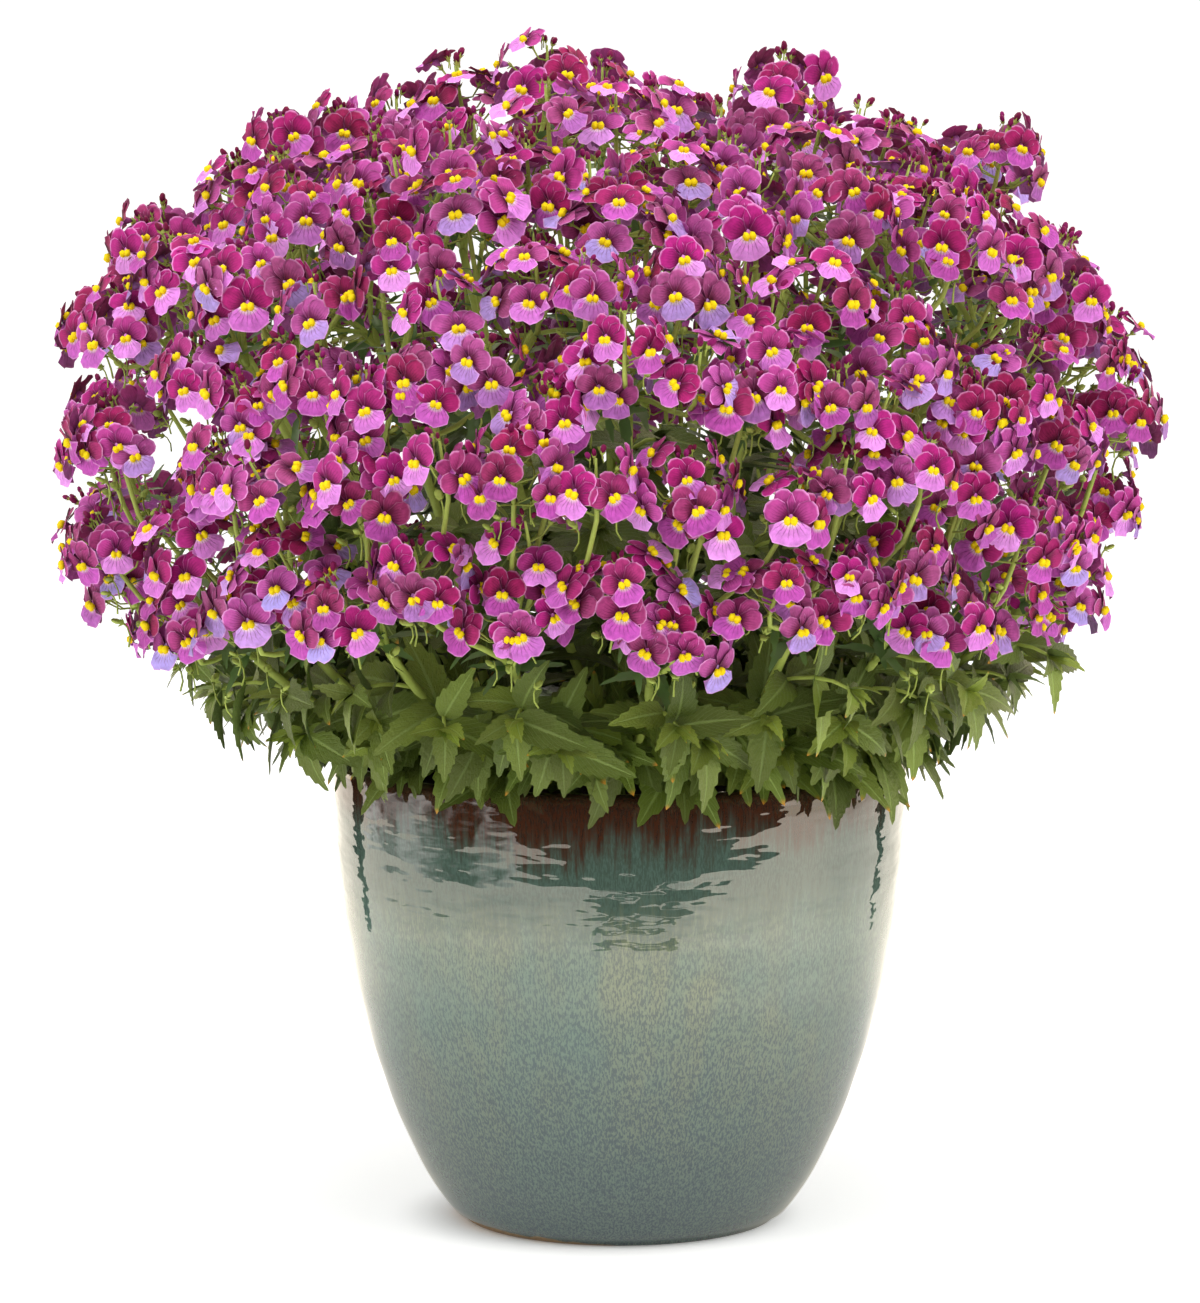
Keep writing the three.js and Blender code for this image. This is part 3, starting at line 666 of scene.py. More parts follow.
def grow_leaves(bm, patterns, path, draw, first, last, gap, large, small, droop, old):
    """Pairs of leaves, each turned a quarter from the last, along a path."""
    total = sum((b - a).length for a, b in zip(path, path[1:]))
    at, pair = first, int(draw() * 2)
    travelled = 0.0
    for a, b in zip(path, path[1:]):
        part = (b - a).length
        along = (b - a).normalized()
        lateral = UP.cross(along)
        lateral = lateral.normalized() if lateral.length > 0.1 else along.orthogonal().normalized()
        while at < min(travelled + part, total - last):
            spot = a + along * (at - travelled)
            share = at / total
            size = (large + (small - large) * share) * (0.85 + 0.3 * draw())
            turn = radians(90 * pair + 50 * (draw() - 0.5))
            arm = swing(lateral, lateral.cross(along), turn)
            for side in (-1, 1):
                direction = (arm * side + along * (0.35 + 0.5 * draw())).normalized()
                upper = along + UP * 0.5
                put_leaf(bm, patterns, spot, direction, upper, size, droop * (0.6 + 0.6 * draw()),
                         min(1, max(0, 1 - old + 0.5 * (draw() - 0.5))), draw)
            pair += 1
            at += gap * (0.8 + 0.4 * draw())
        travelled += part


def side_shoot(bm, patterns, start, aim, reach, draw, large, droop, old):
    """A short shoot that carries leaves only and ends in a rosette."""
    end = start + aim * reach
    curve = [start, start + (aim * 0.6 + UP * 0.2) * reach, end]
    path = [bezier(curve, k / 4) for k in range(5)]
    sweep(bm, path, [1.2, 1.1, 1.0, 0.9, 0.7], 4, STEM, draw() * 0.5, draw())
    grow_leaves(bm, patterns, path, draw, first=8, last=4, gap=11, large=large, small=large * 0.8,
                droop=droop, old=old)
    along = (path[-1] - path[-2]).normalized()
    lateral = UP.cross(along).normalized()
    for k in range(6):
        turn = radians(90 * k + 60 * (draw() - 0.5))
        arm = swing(lateral, lateral.cross(along), turn)
        direction = arm * (1.2 - 0.2 * k) + along * (0.3 + 0.25 * k) + UP * 0.3 * (draw() - 0.5)
        upper = along + UP * (0.4 + draw())
        size = large * (0.9 - 0.12 * k) * (0.7 + 0.5 * draw())
        put_leaf(bm, patterns, path[-1], direction.normalized(), upper, size,
                 droop * (0.3 + 0.6 * draw()), min(1, 0.9 - old + 0.17 * k), draw)


# Materials.

def fill(tree, made, inputs):
    """Links sockets to a node's inputs, and sets every other value on them."""
    for key, value in inputs.items():
        if isinstance(value, bpy.types.NodeSocket):
            tree.links.new(value, made.inputs[key])
        else:
            made.inputs[key].default_value = value


def node(tree, kind, inputs=None, **settings):
    made = tree.nodes.new(kind)
    for name, value in settings.items():
        setattr(made, name, value)
    fill(tree, made, inputs or {})
    return made


def sums(tree, operation, a, b=0.0, c=0.0):
    return node(tree, "ShaderNodeMath", {0: a, 1: b, 2: c}, operation=operation).outputs[0]


def scaled(tree, value, factor, offset=0.0):
    return sums(tree, "MULTIPLY_ADD", value, factor, offset)


def blend(tree, share, a, b):
    a, b = (v if isinstance(v, bpy.types.NodeSocket) else (*v, 1) for v in (a, b))
    return node(tree, "ShaderNodeMix", {0: share, 6: a, 7: b}, data_type="RGBA").outputs[2]


def between(tree, value, low, high, start=0.0, end=1.0):
    """Follows a value from start at low to end at high, and stays there past them."""
    names = {"Value": value, "From Min": low, "From Max": high, "To Min": start, "To Max": end}
    return node(tree, "ShaderNodeMapRange", names, interpolation_type="SMOOTHSTEP").outputs[0]


def noise(tree, vector, scale, detail=3.0, rough=0.55):
    return node(tree, "ShaderNodeTexNoise", {"Vector": vector, "Scale": scale, "Detail": detail,
                                             "Roughness": rough}).outputs["Fac"]


def toned(tree, colour, shade, hue=0.5):
    inputs = {"Hue": hue, "Value": shade, "Color": colour}
    return node(tree, "ShaderNodeHueSaturation", inputs).outputs[0]


def object_place(tree):
    return node(tree, "ShaderNodeTexCoord").outputs["Object"]


def split(tree, vector):
    return node(tree, "ShaderNodeSeparateXYZ", {0: vector}).outputs


def stretched(tree, vector, upwards):
    return node(tree, "ShaderNodeMapping", {"Vector": vector, "Scale": (1, 1, upwards)}).outputs[0]


def distance(tree, vector, x):
    """How far a place is from the point of the floor at x."""
    inputs = {0: vector, 1: (x, 0, 0)}
    return node(tree, "ShaderNodeVectorMath", inputs, operation="DISTANCE").outputs["Value"]


def attribute(tree, name):
    return node(tree, "ShaderNodeAttribute", attribute_name=name, attribute_type="GEOMETRY").outputs["Fac"]


def group(name, inputs, outputs, build):
    """A node group of numbers in and out, filled in by build. An input without a default is a vector."""
    tree = bpy.data.node_groups.new(name, "ShaderNodeTree")
    for label, default in inputs.items():
        kind = "NodeSocketVector" if default is None else "NodeSocketFloat"
        socket = tree.interface.new_socket(label, in_out="INPUT", socket_type=kind)
        if default is not None:
            socket.default_value = default
    for label in outputs:
        tree.interface.new_socket(label, in_out="OUTPUT", socket_type="NodeSocketFloat")
    taken, given = tree.nodes.new("NodeGroupInput"), tree.nodes.new("NodeGroupOutput")
    fill(tree, given, build(tree, taken.outputs))
    return tree


def vein_group():
    """Fine lines that fan out along a lobe or a leaf, from its own UV map."""
    def build(tree, taken):
        parts = split(tree, taken["Sheet"])
        across, along = scaled(tree, parts[0], 2.0, -1.0), parts[1]
        wander = noise(tree, taken["Sheet"], 5.0, 2.0)
        wave = scaled(tree, across, taken["Count"], scaled(tree, wander, 2.2))
        line = sums(tree, "ABSOLUTE", sums(tree, "SINE", wave))
        line = between(tree, line, 0.0, taken["Width"], 1.0, 0.0)
        fade = between(tree, along, 0.95, 0.1)
        aside = sums(tree, "ABSOLUTE", across)
        edge = sums(tree, "MAXIMUM", aside, along)
        return {"Veins": scaled(tree, line, fade), "Across": aside, "Along": along,
                "Edge": between(tree, edge, taken["Edge start"], 0.99)}

    return group("Veins", {"Sheet": None, "Count": 11.0, "Width": 0.5, "Edge start": 0.86},
                 ("Veins", "Across", "Along", "Edge"), build)


def mottle_group():
    """Soft blotches over finer grains, both between 0 and 1, for glaze, soil and green skin."""
    def build(tree, taken):
        broad = noise(tree, taken["Vector"], taken["Broad"], 2.0)
        fine = noise(tree, taken["Vector"], taken["Fine"], 4.0, 0.65)
        return {"Broad": between(tree, broad, 0.3, 0.7), "Fine": between(tree, fine, 0.32, 0.68)}

    return group("Mottle", {"Vector": None, "Broad": 10.0, "Fine": 100.0}, ("Broad", "Fine"), build)


def veined(tree, count, width, edge_start):
    shared = bpy.data.node_groups.get("Veins") or vein_group()
    place = node(tree, "ShaderNodeUVMap", uv_map="Sheet").outputs[0]
    inputs = {"Sheet": place, "Count": count, "Width": width, "Edge start": edge_start}
    return node(tree, "ShaderNodeGroup", inputs, node_tree=shared).outputs


def mottled(tree, place, broad, fine):
    shared = bpy.data.node_groups.get("Mottle") or mottle_group()
    inputs = {"Vector": place, "Broad": broad, "Fine": fine}
    return node(tree, "ShaderNodeGroup", inputs, node_tree=shared).outputs


def new_material(name):
    material = bpy.data.materials.new(name)
    material.use_nodes = True
    return material, material.node_tree


def dress(material, inputs, *bumps):
    """Fills in a material's shader, with a bump for each given strength, depth in metres and height."""
    tree = material.node_tree
    normal = {}
    for strength, depth, height in bumps:
        values = {"Strength": strength, "Distance": depth, "Height": height, **normal}
        normal = {"Normal": node(tree, "ShaderNodeBump", values).outputs[0]}
    fill(tree, tree.nodes["Principled BSDF"], {**inputs, **normal})
    return material


def petal_material(sizes):
    """Upper lobes that turn dark at the throat, lower lips that fade with age, and fine veins on both."""
    material, tree = new_material("petal")
    veins = veined(tree, count=13.0, width=0.6, edge_start=0.9)
    along = veins["Along"]
    age, chance, part, back = (attribute(tree, name) for name in ("Age", "Draw", "Part", "Back"))
    upper = blend(tree, between(tree, age, 0.1, 0.9), sizes.upper_lip, sizes.old_upper_lip)
    upper = blend(tree, between(tree, along, 0.75, 0.0), upper, sizes.upper_throat)
    lower = blend(tree, between(tree, chance, 0.3, 1.0), sizes.lower_lip, sizes.pale_lip)
    lower = blend(tree, between(tree, age, 0.55, 1.0), lower, sizes.faded_lip)
    lower = blend(tree, between(tree, along, 0.3, 0.0), lower, linear("#f2e4ee"))
    colour = blend(tree, part, upper, lower)
    dark_line = scaled(tree, veins["Veins"], scaled(tree, part, -0.2, 0.85))
    colour = blend(tree, dark_line, colour, linear("#5a0840"))
    edge = scaled(tree, veins["Edge"], between(tree, along, 0.25, 0.7, 0.1, 0.6))
    colour = blend(tree, edge, colour, sizes.petal_edge)
    colour = blend(tree, scaled(tree, back, 0.35), colour, linear("#b9639f"))
    spots = noise(tree, object_place(tree), 420.0, 2.0)
    shade = scaled(tree, chance, 0.56, sums(tree, "ADD", spots, 0.33))
    colour = toned(tree, colour, shade, between(tree, chance, 0.0, 1.0, 0.514, 0.479))
    return dress(material, {"Base Color": colour, "Roughness": 0.6, "Specular IOR Level": 0.12,
                            "Sheen Weight": 0.08, "Sheen Roughness": 0.4},
                 (0.5, 0.0004, sums(tree, "ADD", veins["Veins"], spots)))


def palate_material(sizes):
    material, tree = new_material("palate")
    grain = between(tree, noise(tree, object_place(tree), 900.0), 0.35, 0.7)
    colour = blend(tree, scaled(tree, grain, 0.35), sizes.palate, linear("#efb90c"))
    return dress(material, {"Base Color": colour, "Roughness": 0.7, "Specular IOR Level": 0.1},
                 (0.4, 0.0003, grain))


def green_material(name, young, old):
    """The skin of stems, calyces and pods."""
    material, tree = new_material(name)
    mottle = mottled(tree, object_place(tree), broad=60.0, fine=700.0)
    share = scaled(tree, mottle["Broad"], 0.5, attribute(tree, "Age"))
    colour = blend(tree, scaled(tree, share, 0.6), young, old)
    colour = blend(tree, scaled(tree, mottle["Fine"], 0.12), colour, linear("#5c6824"))
    return dress(material, {"Base Color": colour, "Roughness": 0.5, "Specular IOR Level": 0.2},
                 (0.2, 0.0002, mottle["Fine"]))


def leaf_material(sizes):
    """A mottled green leaf with a pale rib and slanted nerves, and now and then a burnt tip."""
    material, tree = new_material("leaf")
    veins = veined(tree, count=6.0, width=0.3, edge_start=0.8)
    across, along = veins["Across"], veins["Along"]
    age, chance, back = (attribute(tree, name) for name in ("Age", "Draw", "Back"))
    rib = between(tree, across, 0.14, 0.03)
    slant = scaled(tree, along, 34.0, scaled(tree, across, -12.0))
    nerves = between(tree, sums(tree, "ABSOLUTE", sums(tree, "SINE", slant)), 0.28, 0.05)
    mottle = mottled(tree, object_place(tree), broad=45.0, fine=500.0)
    colour = blend(tree, age, sizes.old_leaf, sizes.young_leaf)
    for mask, share, code in ((mottle["Broad"], 0.25, "#454216"), (rib, 0.6, "#93a95a"),
                              (nerves, 0.3, "#8ba05a"), (back, 0.45, "#7f9463")):
        colour = blend(tree, scaled(tree, mask, share), colour, linear(code))
    burnt = scaled(tree, between(tree, along, 0.9, 1.0), between(tree, chance, 0.72, 0.8))
    colour = blend(tree, burnt, colour, linear("#c98a2a"))
    # The draw sets a random tone, and on leaves deep in the crown a darker one as painted shade.
    colour = toned(tree, colour, scaled(tree, chance, 0.85, 0.62))
    height = sums(tree, "SUBTRACT", mottle["Fine"], sums(tree, "ADD", rib, nerves))
    return dress(material, {"Base Color": colour, "Roughness": 0.4, "Specular IOR Level": 0.35},
                 (0.6, 0.0004, height))


def glaze_material(sizes):
    """Flecked celadon under a dark teal that runs down from a brown rim. Heights are in metres."""
    teal_band, brown_band, wavy_band = (0.122, 0.162), (0.168, 0.187), (0.118, 0.148)
    material, tree = new_material("glaze")
    spot = object_place(tree)
    parts = split(tree, spot)
    height = parts[2]
    flecks = mottled(tree, stretched(tree, spot, 0.25), broad=75.0, fine=1400.0)
    fine = between(tree, flecks["Fine"], 0.2, 0.8)
    clouds = noise(tree, spot, 12.0)

    body = blend(tree, between(tree, clouds, 0.4, 0.62), sizes.body_glaze, linear("#929978"))
    body = blend(tree, scaled(tree, flecks["Broad"], 0.45), body, linear("#6b8f82"))
    low = between(tree, scaled(tree, clouds, -0.05, height), 0.13, -0.03)
    body = blend(tree, low, body, linear("#566c64"))
    body = blend(tree, scaled(tree, fine, scaled(tree, low, 0.35, 0.5)), body, sizes.low_glaze)
    teal = blend(tree, scaled(tree, fine, 0.6), sizes.run_glaze, linear("#566d62"))
    brown = blend(tree, scaled(tree, fine, 0.5), sizes.rim_glaze, linear("#2a2a24"))

    runs = between(tree, noise(tree, stretched(tree, spot, 0.05), 420.0, 4.0, 0.6), 0.25, 0.75)
    level = sums(tree, "ADD", height, scaled(tree, runs, 0.014, -0.007))
    level = sums(tree, "ADD", level, scaled(tree, clouds, 0.05, -0.025))
    colour = blend(tree, between(tree, level, *teal_band), body, teal)
    colour = blend(tree, between(tree, level, *brown_band), colour, brown)

    bare = sums(tree, "ADD", height, scaled(tree, noise(tree, spot, 60.0), 0.006, -0.003))
    bare = between(tree, scaled(tree, parts[0], 0.06, bare), 0.0004, -0.0004)
    colour = blend(tree, bare, colour, sizes.clay)
    rough = blend(tree, bare, (sizes.gloss,) * 3, (0.8,) * 3)

    waves = noise(tree, stretched(tree, spot, 3.4), 20.0, 2.5)
    waves = scaled(tree, sums(tree, "SUBTRACT", waves, 0.5), between(tree, height, *wavy_band, 0.15))
    return dress(material, {"Base Color": colour, "Roughness": rough, "IOR": 1.75},
                 (1.0, 0.0018, waves), (0.3, 0.0003, noise(tree, spot, 120.0, 2.0)))


def soil_material():
    material, tree = new_material("soil")
    mottle = mottled(tree, object_place(tree), broad=90.0, fine=600.0)
    colour = blend(tree, mottle["Fine"], linear("#1c130c"), linear("#4a3626"))
    colour = blend(tree, scaled(tree, mottle["Broad"], 0.4), colour, linear("#2c2016"))
    return dress(material, {"Base Color": colour, "Roughness": 0.95}, (0.8, 0.002, mottle["Fine"]))


# Operators, one for each kind of piece and one for the stage.

def pot_radius(height):
    """The outer radius of the pot's wall at a height over its foot."""
    share = (height / POT_HEIGHT) ** BELLY
    return FOOT_RADIUS + (RIM_RADIUS - FOOT_RADIUS) * sin(share * pi / 2)


def turned(bm, profile, steps):
    """Spins a profile of radii and heights round the upright axis."""
    verts = [bm.verts.new((radius, 0, height)) for radius, height in profile]
    edges = [bm.edges.new(pair) for pair in zip(verts, verts[1:] + verts[:1])]
    bmesh.ops.spin(bm, geom=verts + edges, cent=(0, 0, 0), axis=(0, 0, 1), angle=2 * pi, steps=steps,
                   use_merge=True)
    bmesh.ops.remove_doubles(bm, verts=bm.verts, dist=1e-4)
    bmesh.ops.recalc_face_normals(bm, faces=bm.faces)


class NEMESIA_OT_pot(bpy.types.Operator):
    """Turn the egg-shaped pot with its rounded lip, foot ring and drain hole"""
    bl_idname = "nemesia.pot"
    bl_label = "Make Pot"

    def execute(self, context):
        sizes = context.scene.nemesia_pot
        ripple = sizes.ripple / MM
        outside = []
        for k in range(1, WALL_STEPS - 1):
            height = POT_HEIGHT * k / WALL_STEPS
            sunk = ripple * (1 + 0.6 * sin(height / RIPPLE_HEIGHT))
            outside.append((pot_radius(height) - sunk, height))
        lip = [(RIM_RADIUS - LIP_RADIUS + (LIP_RADIUS - 0.5) * cos(radians(a)),
                POT_HEIGHT - LIP_RADIUS + LIP_RADIUS * sin(radians(a))) for a in range(0, 181, 20)]
        inside = [(pot_radius(h) - WALL, h) for h in (176, 160, 140, 120, 95, 65, 40, 24)]
        ring = FOOT_RADIUS - FOOT_RING_WIDTH
        base = [(FOOT_RADIUS - 4, FLOOR_TOP), (DRAIN_RADIUS + 2, FLOOR_TOP), (DRAIN_RADIUS, FLOOR_TOP - 1.5),
                (DRAIN_RADIUS, FOOT_RECESS + 1), (DRAIN_RADIUS + 1, FOOT_RECESS), (ring - 1, FOOT_RECESS),
                (ring, FOOT_RECESS - 1), (ring + 0.5, 0.4), (ring + 1.5, 0), (FOOT_RADIUS - 2, 0),
                (FOOT_RADIUS - 0.6, 0.4), (FOOT_RADIUS, 1.6)]
        bm = bmesh.new()
        turned(bm, outside + lip + inside + base, 120)
        finish("glazed_pot", bm, [glaze_material(sizes)], "glaze", "pot")
        return {"FINISHED"}


class NEMESIA_OT_soil(bpy.types.Operator):
    """Fill the pot with crumbly potting soil"""
    bl_idname = "nemesia.soil"
    bl_label = "Make Soil"

    def execute(self, context):
        bm = bmesh.new()
        steps = (0.5, 8, 16, 25, 34, 44, 54, 64, 74, 84, 94, 101)
        top = [(r, SOIL_CROWN - 6 * (r / 106) ** 2) for r in steps]
        side = [(pot_radius(h) - WALL - 1.2, h) for h in (SOIL_EDGE, 150, 120, 90, 60, 30)]
        turned(bm, top + side + [(FOOT_RADIUS - 6, FLOOR_TOP + 1.5), (0.5, FLOOR_TOP + 1.5)], 96)
        draw = draws(SOIL_SEED)
        for vert in bm.verts:
            if vert.co.z > SOIL_EDGE - 8:
                vert.co.z += 2.2 * (draw() - 0.6)
        finish("potting_soil", bm, [soil_material()], "soil", "soil")
        return {"FINISHED"}


class NEMESIA_OT_shoots(bpy.types.Operator):
    """Grow the leafy shoots, one piece for each main stem"""
    bl_idname = "nemesia.shoots"
    bl_label = "Make Leafy Shoots"

    def execute(self, context):
        sizes = context.scene.nemesia_shoots
        leaf = sizes.leaf_length / MM
        gap = sizes.leaf_gap / MM
        bends = ((15, 0.3), (35, 0.2), (55, 0.25), (85, 0.2))
        patterns = {name: [leaf_pattern(bend, fold, sizes.leaf_share, teeth, LEAF) for bend, fold in bends]
                    for name, teeth in (("leaves", 6), ("hidden leaves", 2))}
        materials = [green_material("stem", sizes.stem, linear("#92a246")), leaf_material(sizes)]
        for index in range(OUTER_STEMS + INNER_STEMS):
            draw = draws(SHOOT_SEED + index)
            bm = new_bmesh()
            foot, crown = root_ends(index, ROOT_DEPTH)
            sweep(bm, [foot, foot.lerp(crown, 0.5), crown], [2.8, 2.6, 2.3], 7, STEM, 0.9, draw())
            for bunch in BUNCHES:
                if bunch["stem"] != index:
                    continue
                curve = branch_curve(bunch)
                path = [bezier(curve, k / 10) for k in range(11)]
                low, high = bunch["fork"].z < LOW_FORK, bunch["fork"].z > HIGH_FORK
                sweep(bm, path, [2.2 - 0.5 * k / 10 for k in range(11)], 6, STEM, 0.5, draw())
                grow_leaves(bm, patterns, path, draw, first=14, last=85 if high else 34, gap=gap,
                            large=leaf, small=leaf * 0.72, droop=0.5, old=0.7 if high else 0.9)
                for at in (0.35, 0.55) if high else (0.35, 0.55, 0.75):
                    start = bezier(curve, at)
                    out = Vector((start.x, start.y, 0)).normalized()
                    lateral = UP.cross(out)
                    rise = 0.1 * draw() - 0.05 if low else 0.3 + 0.7 * draw()
                    aim = (out * 0.7 + lateral * 1.6 * (draw() - 0.5) + UP * rise).normalized()
                    side_shoot(bm, patterns, start, aim, 24 + 14 * draw(), draw, large=leaf * 0.9,
                               droop=0.6 if low else 0.45, old=0.8 if low else 0.92)
            if index < OUTER_STEMS:
                azimuth = degrees(atan2(crown.y, crown.x))
                for turn in COLLAR_TURNS:
                    start = crown.lerp(polar(COLLAR_RADIUS, azimuth + turn * 0.5, COLLAR_HEIGHT), 0.8)
                    end = polar(100 + 24 * draw(), azimuth + turn + 8 * (draw() - 0.5), 202 + 26 * draw())
                    aim = (end - start).normalized()
                    side_shoot(bm, patterns, start, aim, (end - start).length, draw,
                               large=leaf * (0.9 + 0.25 * draw()), droop=0.5 + 0.4 * draw(),
                               old=0.6 + 0.3 * draw())
                    out = polar(1, azimuth + turn, 0)
                    for side in (-1, 1):
                        hang = out * 0.8 - UP * (0.3 + 0.5 * draw())
                        hang += UP.cross(out) * side * (0.15 + 0.5 * draw())
                        put_leaf(bm, patterns, end + out * 4 * draw(), hang.normalized(), out + UP * 0.7,
                                 size=leaf * (0.9 + 0.25 * draw()), droop=0.1 + 0.4 * draw(),
                                 age=0.3 * draw(), draw=draw)
            finish(f"shoots_{index + 1:02d}", bm, materials, "leaf", f"leafy_stem_{index + 1:02d}")
        return {"FINISHED"}


class NEMESIA_OT_blooms(bpy.types.Operator):
    """Set the heads of two-lipped blooms on their stalks, one piece for each bunch"""
    bl_idname = "nemesia.blooms"
    bl_label = "Make Blooms"

    def execute(self, context):
        sizes = context.scene.nemesia_blooms
        shoots = context.scene.nemesia_shoots
        patterns = {"blooms": [bloom_pattern(seed) for seed in range(1, BLOOM_KINDS + 1)],
                    "bud": bud_pattern(), "pod": pod_pattern(),
                    "leaves": [leaf_pattern(bend, fold=0.25, share=0.3, teeth=3, material=SMALL_LEAF)
                               for bend in (20, 45)]}
        materials = [petal_material(sizes), palate_material(sizes),
                     green_material("stalk", shoots.stem, linear("#8a9a44")), bpy.data.materials["leaf"]]
        # How many blooms a ring has, its height and radius, its tilt in degrees and the blooms' age.
        rings = ((sizes.ring_blooms, -3.0, 17.0, 4, 0.5), (sizes.top_blooms, 8.0, 10.5, 26, 0.15))
        beside = ((sizes.side_blooms, 1.0, 11.5, 10, 0.35),)
        for index, bunch in enumerate(BUNCHES):
            draw = draws(BLOOM_SEED + index)
            bm = new_bmesh()
            for head in bunch["heads"]:
                if head["latitude"] > BOTTOM_LATITUDE:
                    head["centre"] += UP * max(0.0, -head["centre"].y) * LIFT_IN_FRONT
                head["centre"].x -= draw_in(head["centre"])
                make_head(bm, head["centre"], head["axis"], bunch, patterns, sizes, draw, rings,
                          buds=5, pods=5 if head["latitude"] > LOW_LATITUDE else 3)
                for step, turn in BESIDE.get(head["latitude"], ()):
                    azimuth = head["azimuth"] + turn + 5 * (draw() - 0.5)
                    on_flank = abs(cos(radians(azimuth))) > 0.8
                    if on_flank and head["latitude"] > SIDE_LATITUDE:
                        continue
                    spot = dome_point(head["latitude"] + step + 4 * (draw() - 0.5), azimuth)
                    out = (spot - FOCUS).normalized()
                    spot += out * (-12 + 14 * draw() + (18 if draw() < 0.15 else 0))
                    spot.x -= draw_in(spot)
                    make_head(bm, spot, out, bunch, patterns, sizes, draw, beside, buds=3, pods=2)
                start, end = bunch["fork"], head["centre"] - head["axis"] * 18
                path = [start.lerp(end, k / 3) for k in range(4)]
                grow_leaves(bm, patterns, path, draw, first=6, last=1, gap=10, large=20, small=9,
                            droop=0.5, old=0.6)
            finish(f"blooms_{index + 1:02d}", bm, materials, "petal", f"bunch_{index + 1:02d}")
        return {"FINISHED"}


# What the pot's front reflects: dark cards at one place along Y, with their outlines across and upwards in
# metres, and a slit beside each flank, whose outline counts sideways in steps of about 20 mm.

CARD_PLACE = -0.33
DARK_FRONT = ((-0.04, 0.066), (0.15, 0.064), (0.205, 0.079), (0.289, 0.08), (0.429, 0.075), (0.6, 0.12),
              (0.7, 0.8), (-0.4, 0.8), (-0.36, 0.2), (-0.239, 0.108), (-0.212, 0.093), (-0.148, 0.088),
              (-0.05, 0.078))
DARK_STRIP = ((-0.06, 0.044), (0.13, 0.04), (0.12, 0.058), (-0.045, 0.06))
DARK_SLIT = ((0.4, 0.045), (-0.4, 0.045), (-0.9, 0.09), (-1.4, 0.12), (-1.6, 0.6), (1.6, 0.6), (1.4, 0.12),
             (0.9, 0.09))


def hold(thing, spot, aim):
    """Puts a lamp or a camera at a spot and turns it to look at its aim."""
    holder = bpy.data.objects.new(thing.name, thing)
    holder.location = spot
    holder.rotation_euler = (Vector(aim) - Vector(spot)).to_track_quat("-Z", "Y").to_euler()
    bpy.context.scene.collection.objects.link(holder)
    return holder


def lamp(name, spot, width, tall, watts, colour):
    """A soft light that looks at the middle of the crown."""
    light = bpy.data.lights.new(name, "AREA")
    light.shape, light.size, light.size_y = "RECTANGLE", width, tall
    light.energy, light.color = watts, colour
    hold(light, spot, (0, 0, 0.3))


def card(name, shine, corners):
    """A card that only the gloss of the pot sees, as it would a studio's dark and pale sides."""
    material, tree = new_material(name)
    blotch = between(tree, noise(tree, object_place(tree), 6.0), 0.35, 0.6, 0.0, shine)
    dress(material, {"Base Color": (0, 0, 0, 1), "Specular IOR Level": 0,
                     "Emission Color": (1, 0.97, 0.93, 1), "Emission Strength": blotch})
    bm = bmesh.new()
    bm.faces.new([bm.verts.new(corner) for corner in corners])
    piece = new_piece(name, bm, [material])
    for kind in ("camera", "diffuse", "transmission", "volume_scatter", "shadow"):
        setattr(piece, "visible_" + kind, False)


def lay_floor(sizes):
    """A pale floor that glows for the camera, and that the glaze sees as a painted reflection: a warm glow
    for glossy rays, dimmer near the pot and brighter at the front right. Round the foot all glow fades, a
    painted shadow on top of the pot's own.
    """
    material, tree = new_material("floor")
    rays = node(tree, "ShaderNodeLightPath").outputs
    place = object_place(tree)
    parts = split(tree, place)
    far = distance(tree, place, 0.0)
    # Painted reflection, seen by glossy rays only: the floor is dim near the pot, brighter further off and at
    # the front right, and warm.
    front_right_reflection = scaled(tree, between(tree, parts[0], 0.05, 0.35, 0.0, 0.8),
                         between(tree, parts[1], 0.1, -0.2))
    front_right_reflection = scaled(tree, front_right_reflection, between(tree, far, 0.12, 0.38))
    pale = sums(tree, "ADD", between(tree, far, 0.22, 0.54, 0.28, 1.2), front_right_reflection)
    glow = scaled(tree, rays["Is Camera Ray"], 0.45, scaled(tree, rays["Is Glossy Ray"], pale))
    warm = blend(tree, rays["Is Glossy Ray"], (1, 1, 1), linear("#f8e6c8"))
    # Painted shadow: the glow fades round the foot, so the floor there is darker than its light alone makes
    # it.
    glow = scaled(tree, glow, between(tree, distance(tree, place, -0.009), 0.052, 0.09))
    dress(material, {"Base Color": (*sizes.floor_colour, 1), "Roughness": 0.9, "Specular IOR Level": 0.1,
                     "Emission Color": warm, "Emission Strength": glow})
    bm = bmesh.new()
    bmesh.ops.create_circle(bm, cap_ends=True, segments=96, radius=30)
    new_piece("floor", bm, [material])


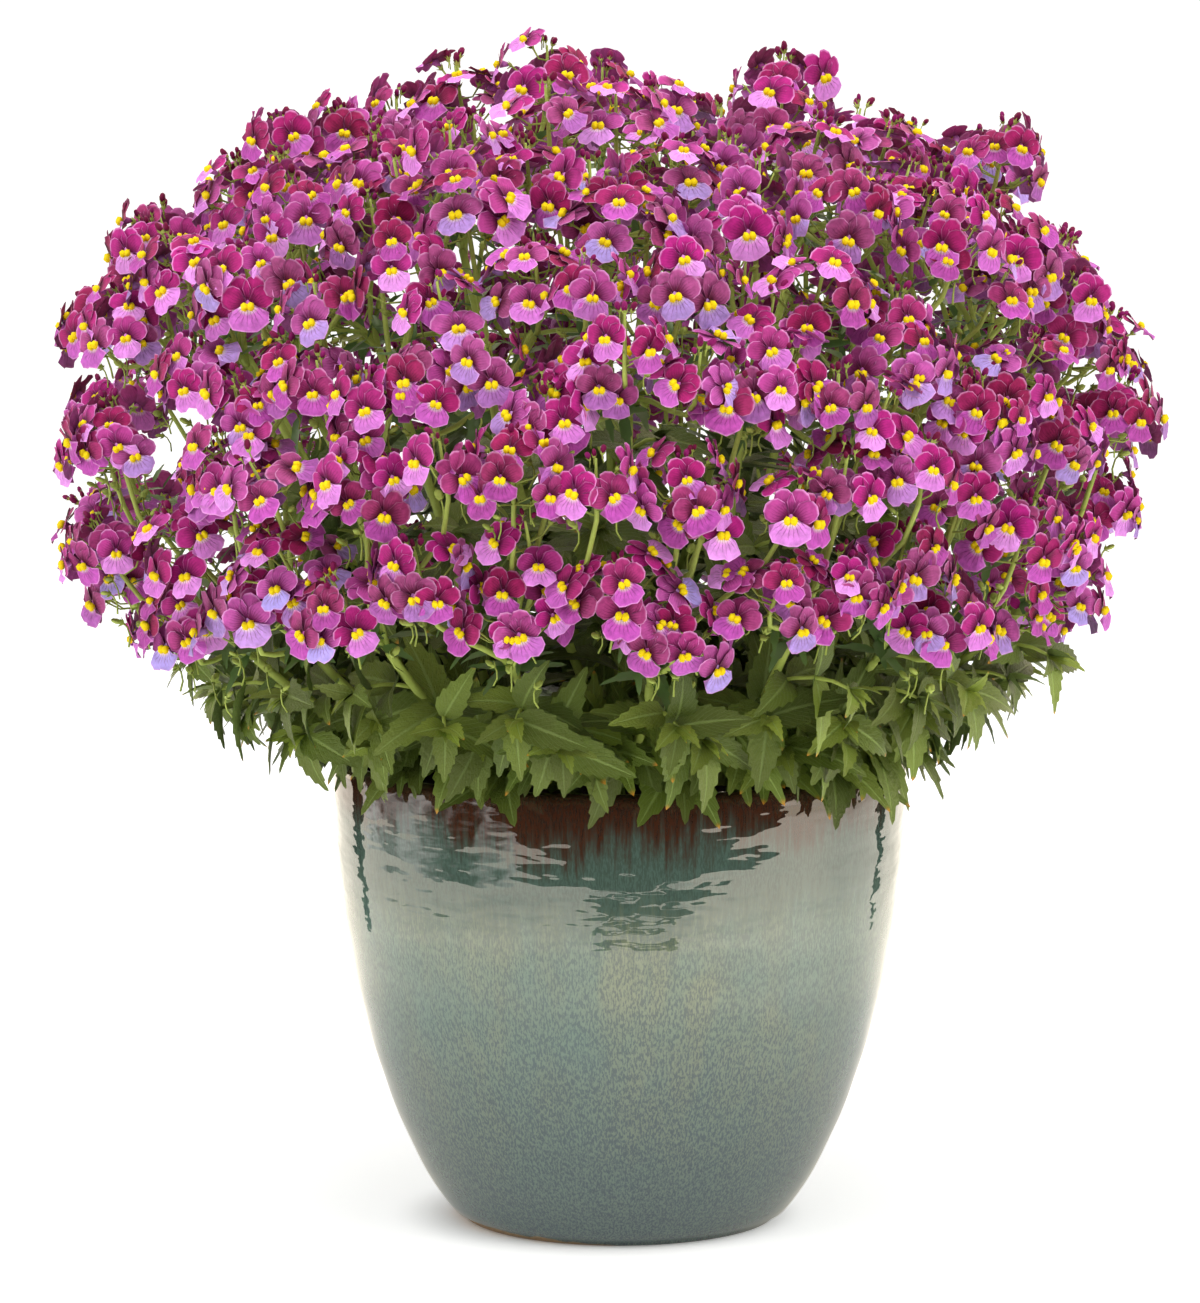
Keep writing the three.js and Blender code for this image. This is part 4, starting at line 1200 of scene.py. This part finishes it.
class NEMESIA_OT_studio(bpy.types.Operator):
    """Set the pale floor, the soft lights and the camera"""
    bl_idname = "nemesia.studio"
    bl_label = "Make Studio"

    def execute(self, context):
        sizes = context.scene.nemesia_studio
        lay_floor(sizes)
        warm_white = (1, 0.97, 0.92)
        lamp("top_light", (0, -0.5, 2.2), 2.2, 2.2, sizes.key_power, (1, 1, 1))
        for name, side in (("left_light", -1), ("right_light", 1)):
            lamp(name, (side * 1.5, -1.1, 0.9), 0.9, 1.6, sizes.side_power, warm_white)
        card("dark_front", 0.0, [(x, CARD_PLACE, z) for x, z in DARK_FRONT])
        card("dark_strip", 0.0, [(x, CARD_PLACE, z) for x, z in DARK_STRIP])
        card("grey_side", 2.2, ((-0.34, -0.5, 0.05), (-0.64, 0.3, 0.05), (-0.64, 0.3, 1.2),
                                (-0.34, -0.5, 1.2)))
        for name, side, wide in (("left_slit", -1, 1.0), ("right_slit", 1, 0.65)):
            card(name, 0.0, [(side * (0.326 + 0.012 * a * wide), 0.143 - 0.0165 * a * wide, z)
                             for a, z in DARK_SLIT])

        world = bpy.data.worlds.new("studio")
        world.use_nodes = True
        tree = world.node_tree
        rays = node(tree, "ShaderNodeLightPath").outputs
        # Glossy rays see the room brighter and warmer than the light it gives: a painted reflection on the
        # glaze. The camera sees it as an even white backdrop.
        strength = scaled(tree, rays["Is Glossy Ray"], 2.9 - sizes.room_light, sizes.room_light)
        strength = scaled(tree, rays["Is Camera Ray"], 1.05 - sizes.room_light, strength)
        colour = blend(tree, rays["Is Glossy Ray"], (1, 1, 1), linear("#f7e9cf"))
        fill(tree, tree.nodes["Background"], {"Strength": strength, "Color": colour})
        context.scene.world = world
        context.scene.view_settings.view_transform = "Standard"

        camera = bpy.data.cameras.new("camera")
        camera.sensor_fit, camera.sensor_width, camera.lens = "HORIZONTAL", 36, 173.75
        camera.clip_start, camera.clip_end = 0.05, 100
        context.scene.camera = hold(camera, (0, -2.4, 0.531), (-0.0083, 0, 0.2385))
        return {"FINISHED"}


class NEMESIA_PT_panel(bpy.types.Panel):
    """Lists the sizes and the pieces of the potted nemesia"""
    bl_label = "Potted Nemesia"
    bl_idname = "NEMESIA_PT_panel"
    bl_space_type = "VIEW_3D"
    bl_region_type = "UI"
    bl_category = "Nemesia"

    def draw(self, context):
        for title, name, _, operators in SECTIONS:
            box = self.layout.box()
            box.label(text=title)
            settings = getattr(context.scene, name)
            for key in settings.bl_rna.properties.keys():
                if key not in ("rna_type", "name"):
                    box.prop(settings, key)
            for operator in operators:
                box.operator(operator)


SECTIONS = (
    ("Studio", "nemesia_studio", NemesiaStudio, ("nemesia.studio",)),
    ("Pot and soil", "nemesia_pot", NemesiaPot, ("nemesia.pot", "nemesia.soil")),
    ("Leafy shoots", "nemesia_shoots", NemesiaShoots, ("nemesia.shoots",)),
    ("Blooms", "nemesia_blooms", NemesiaBlooms, ("nemesia.blooms",)),
)
CLASSES = (NemesiaStudio, NemesiaPot, NemesiaShoots, NemesiaBlooms, NEMESIA_OT_studio, NEMESIA_OT_pot,
           NEMESIA_OT_soil, NEMESIA_OT_shoots, NEMESIA_OT_blooms, NEMESIA_PT_panel)


def register():
    for entry in CLASSES:
        bpy.utils.register_class(entry)
    for _, name, settings, _ in SECTIONS:
        setattr(bpy.types.Scene, name, bpy.props.PointerProperty(type=settings))


def unregister():
    for _, name, _, _ in SECTIONS:
        delattr(bpy.types.Scene, name)
    for entry in reversed(CLASSES):
        bpy.utils.unregister_class(entry)


def main():
    register()
    bpy.ops.nemesia.studio()
    bpy.ops.nemesia.pot()
    bpy.ops.nemesia.soil()
    bpy.ops.nemesia.shoots()
    bpy.ops.nemesia.blooms()


if __name__ == "__main__":
    main()
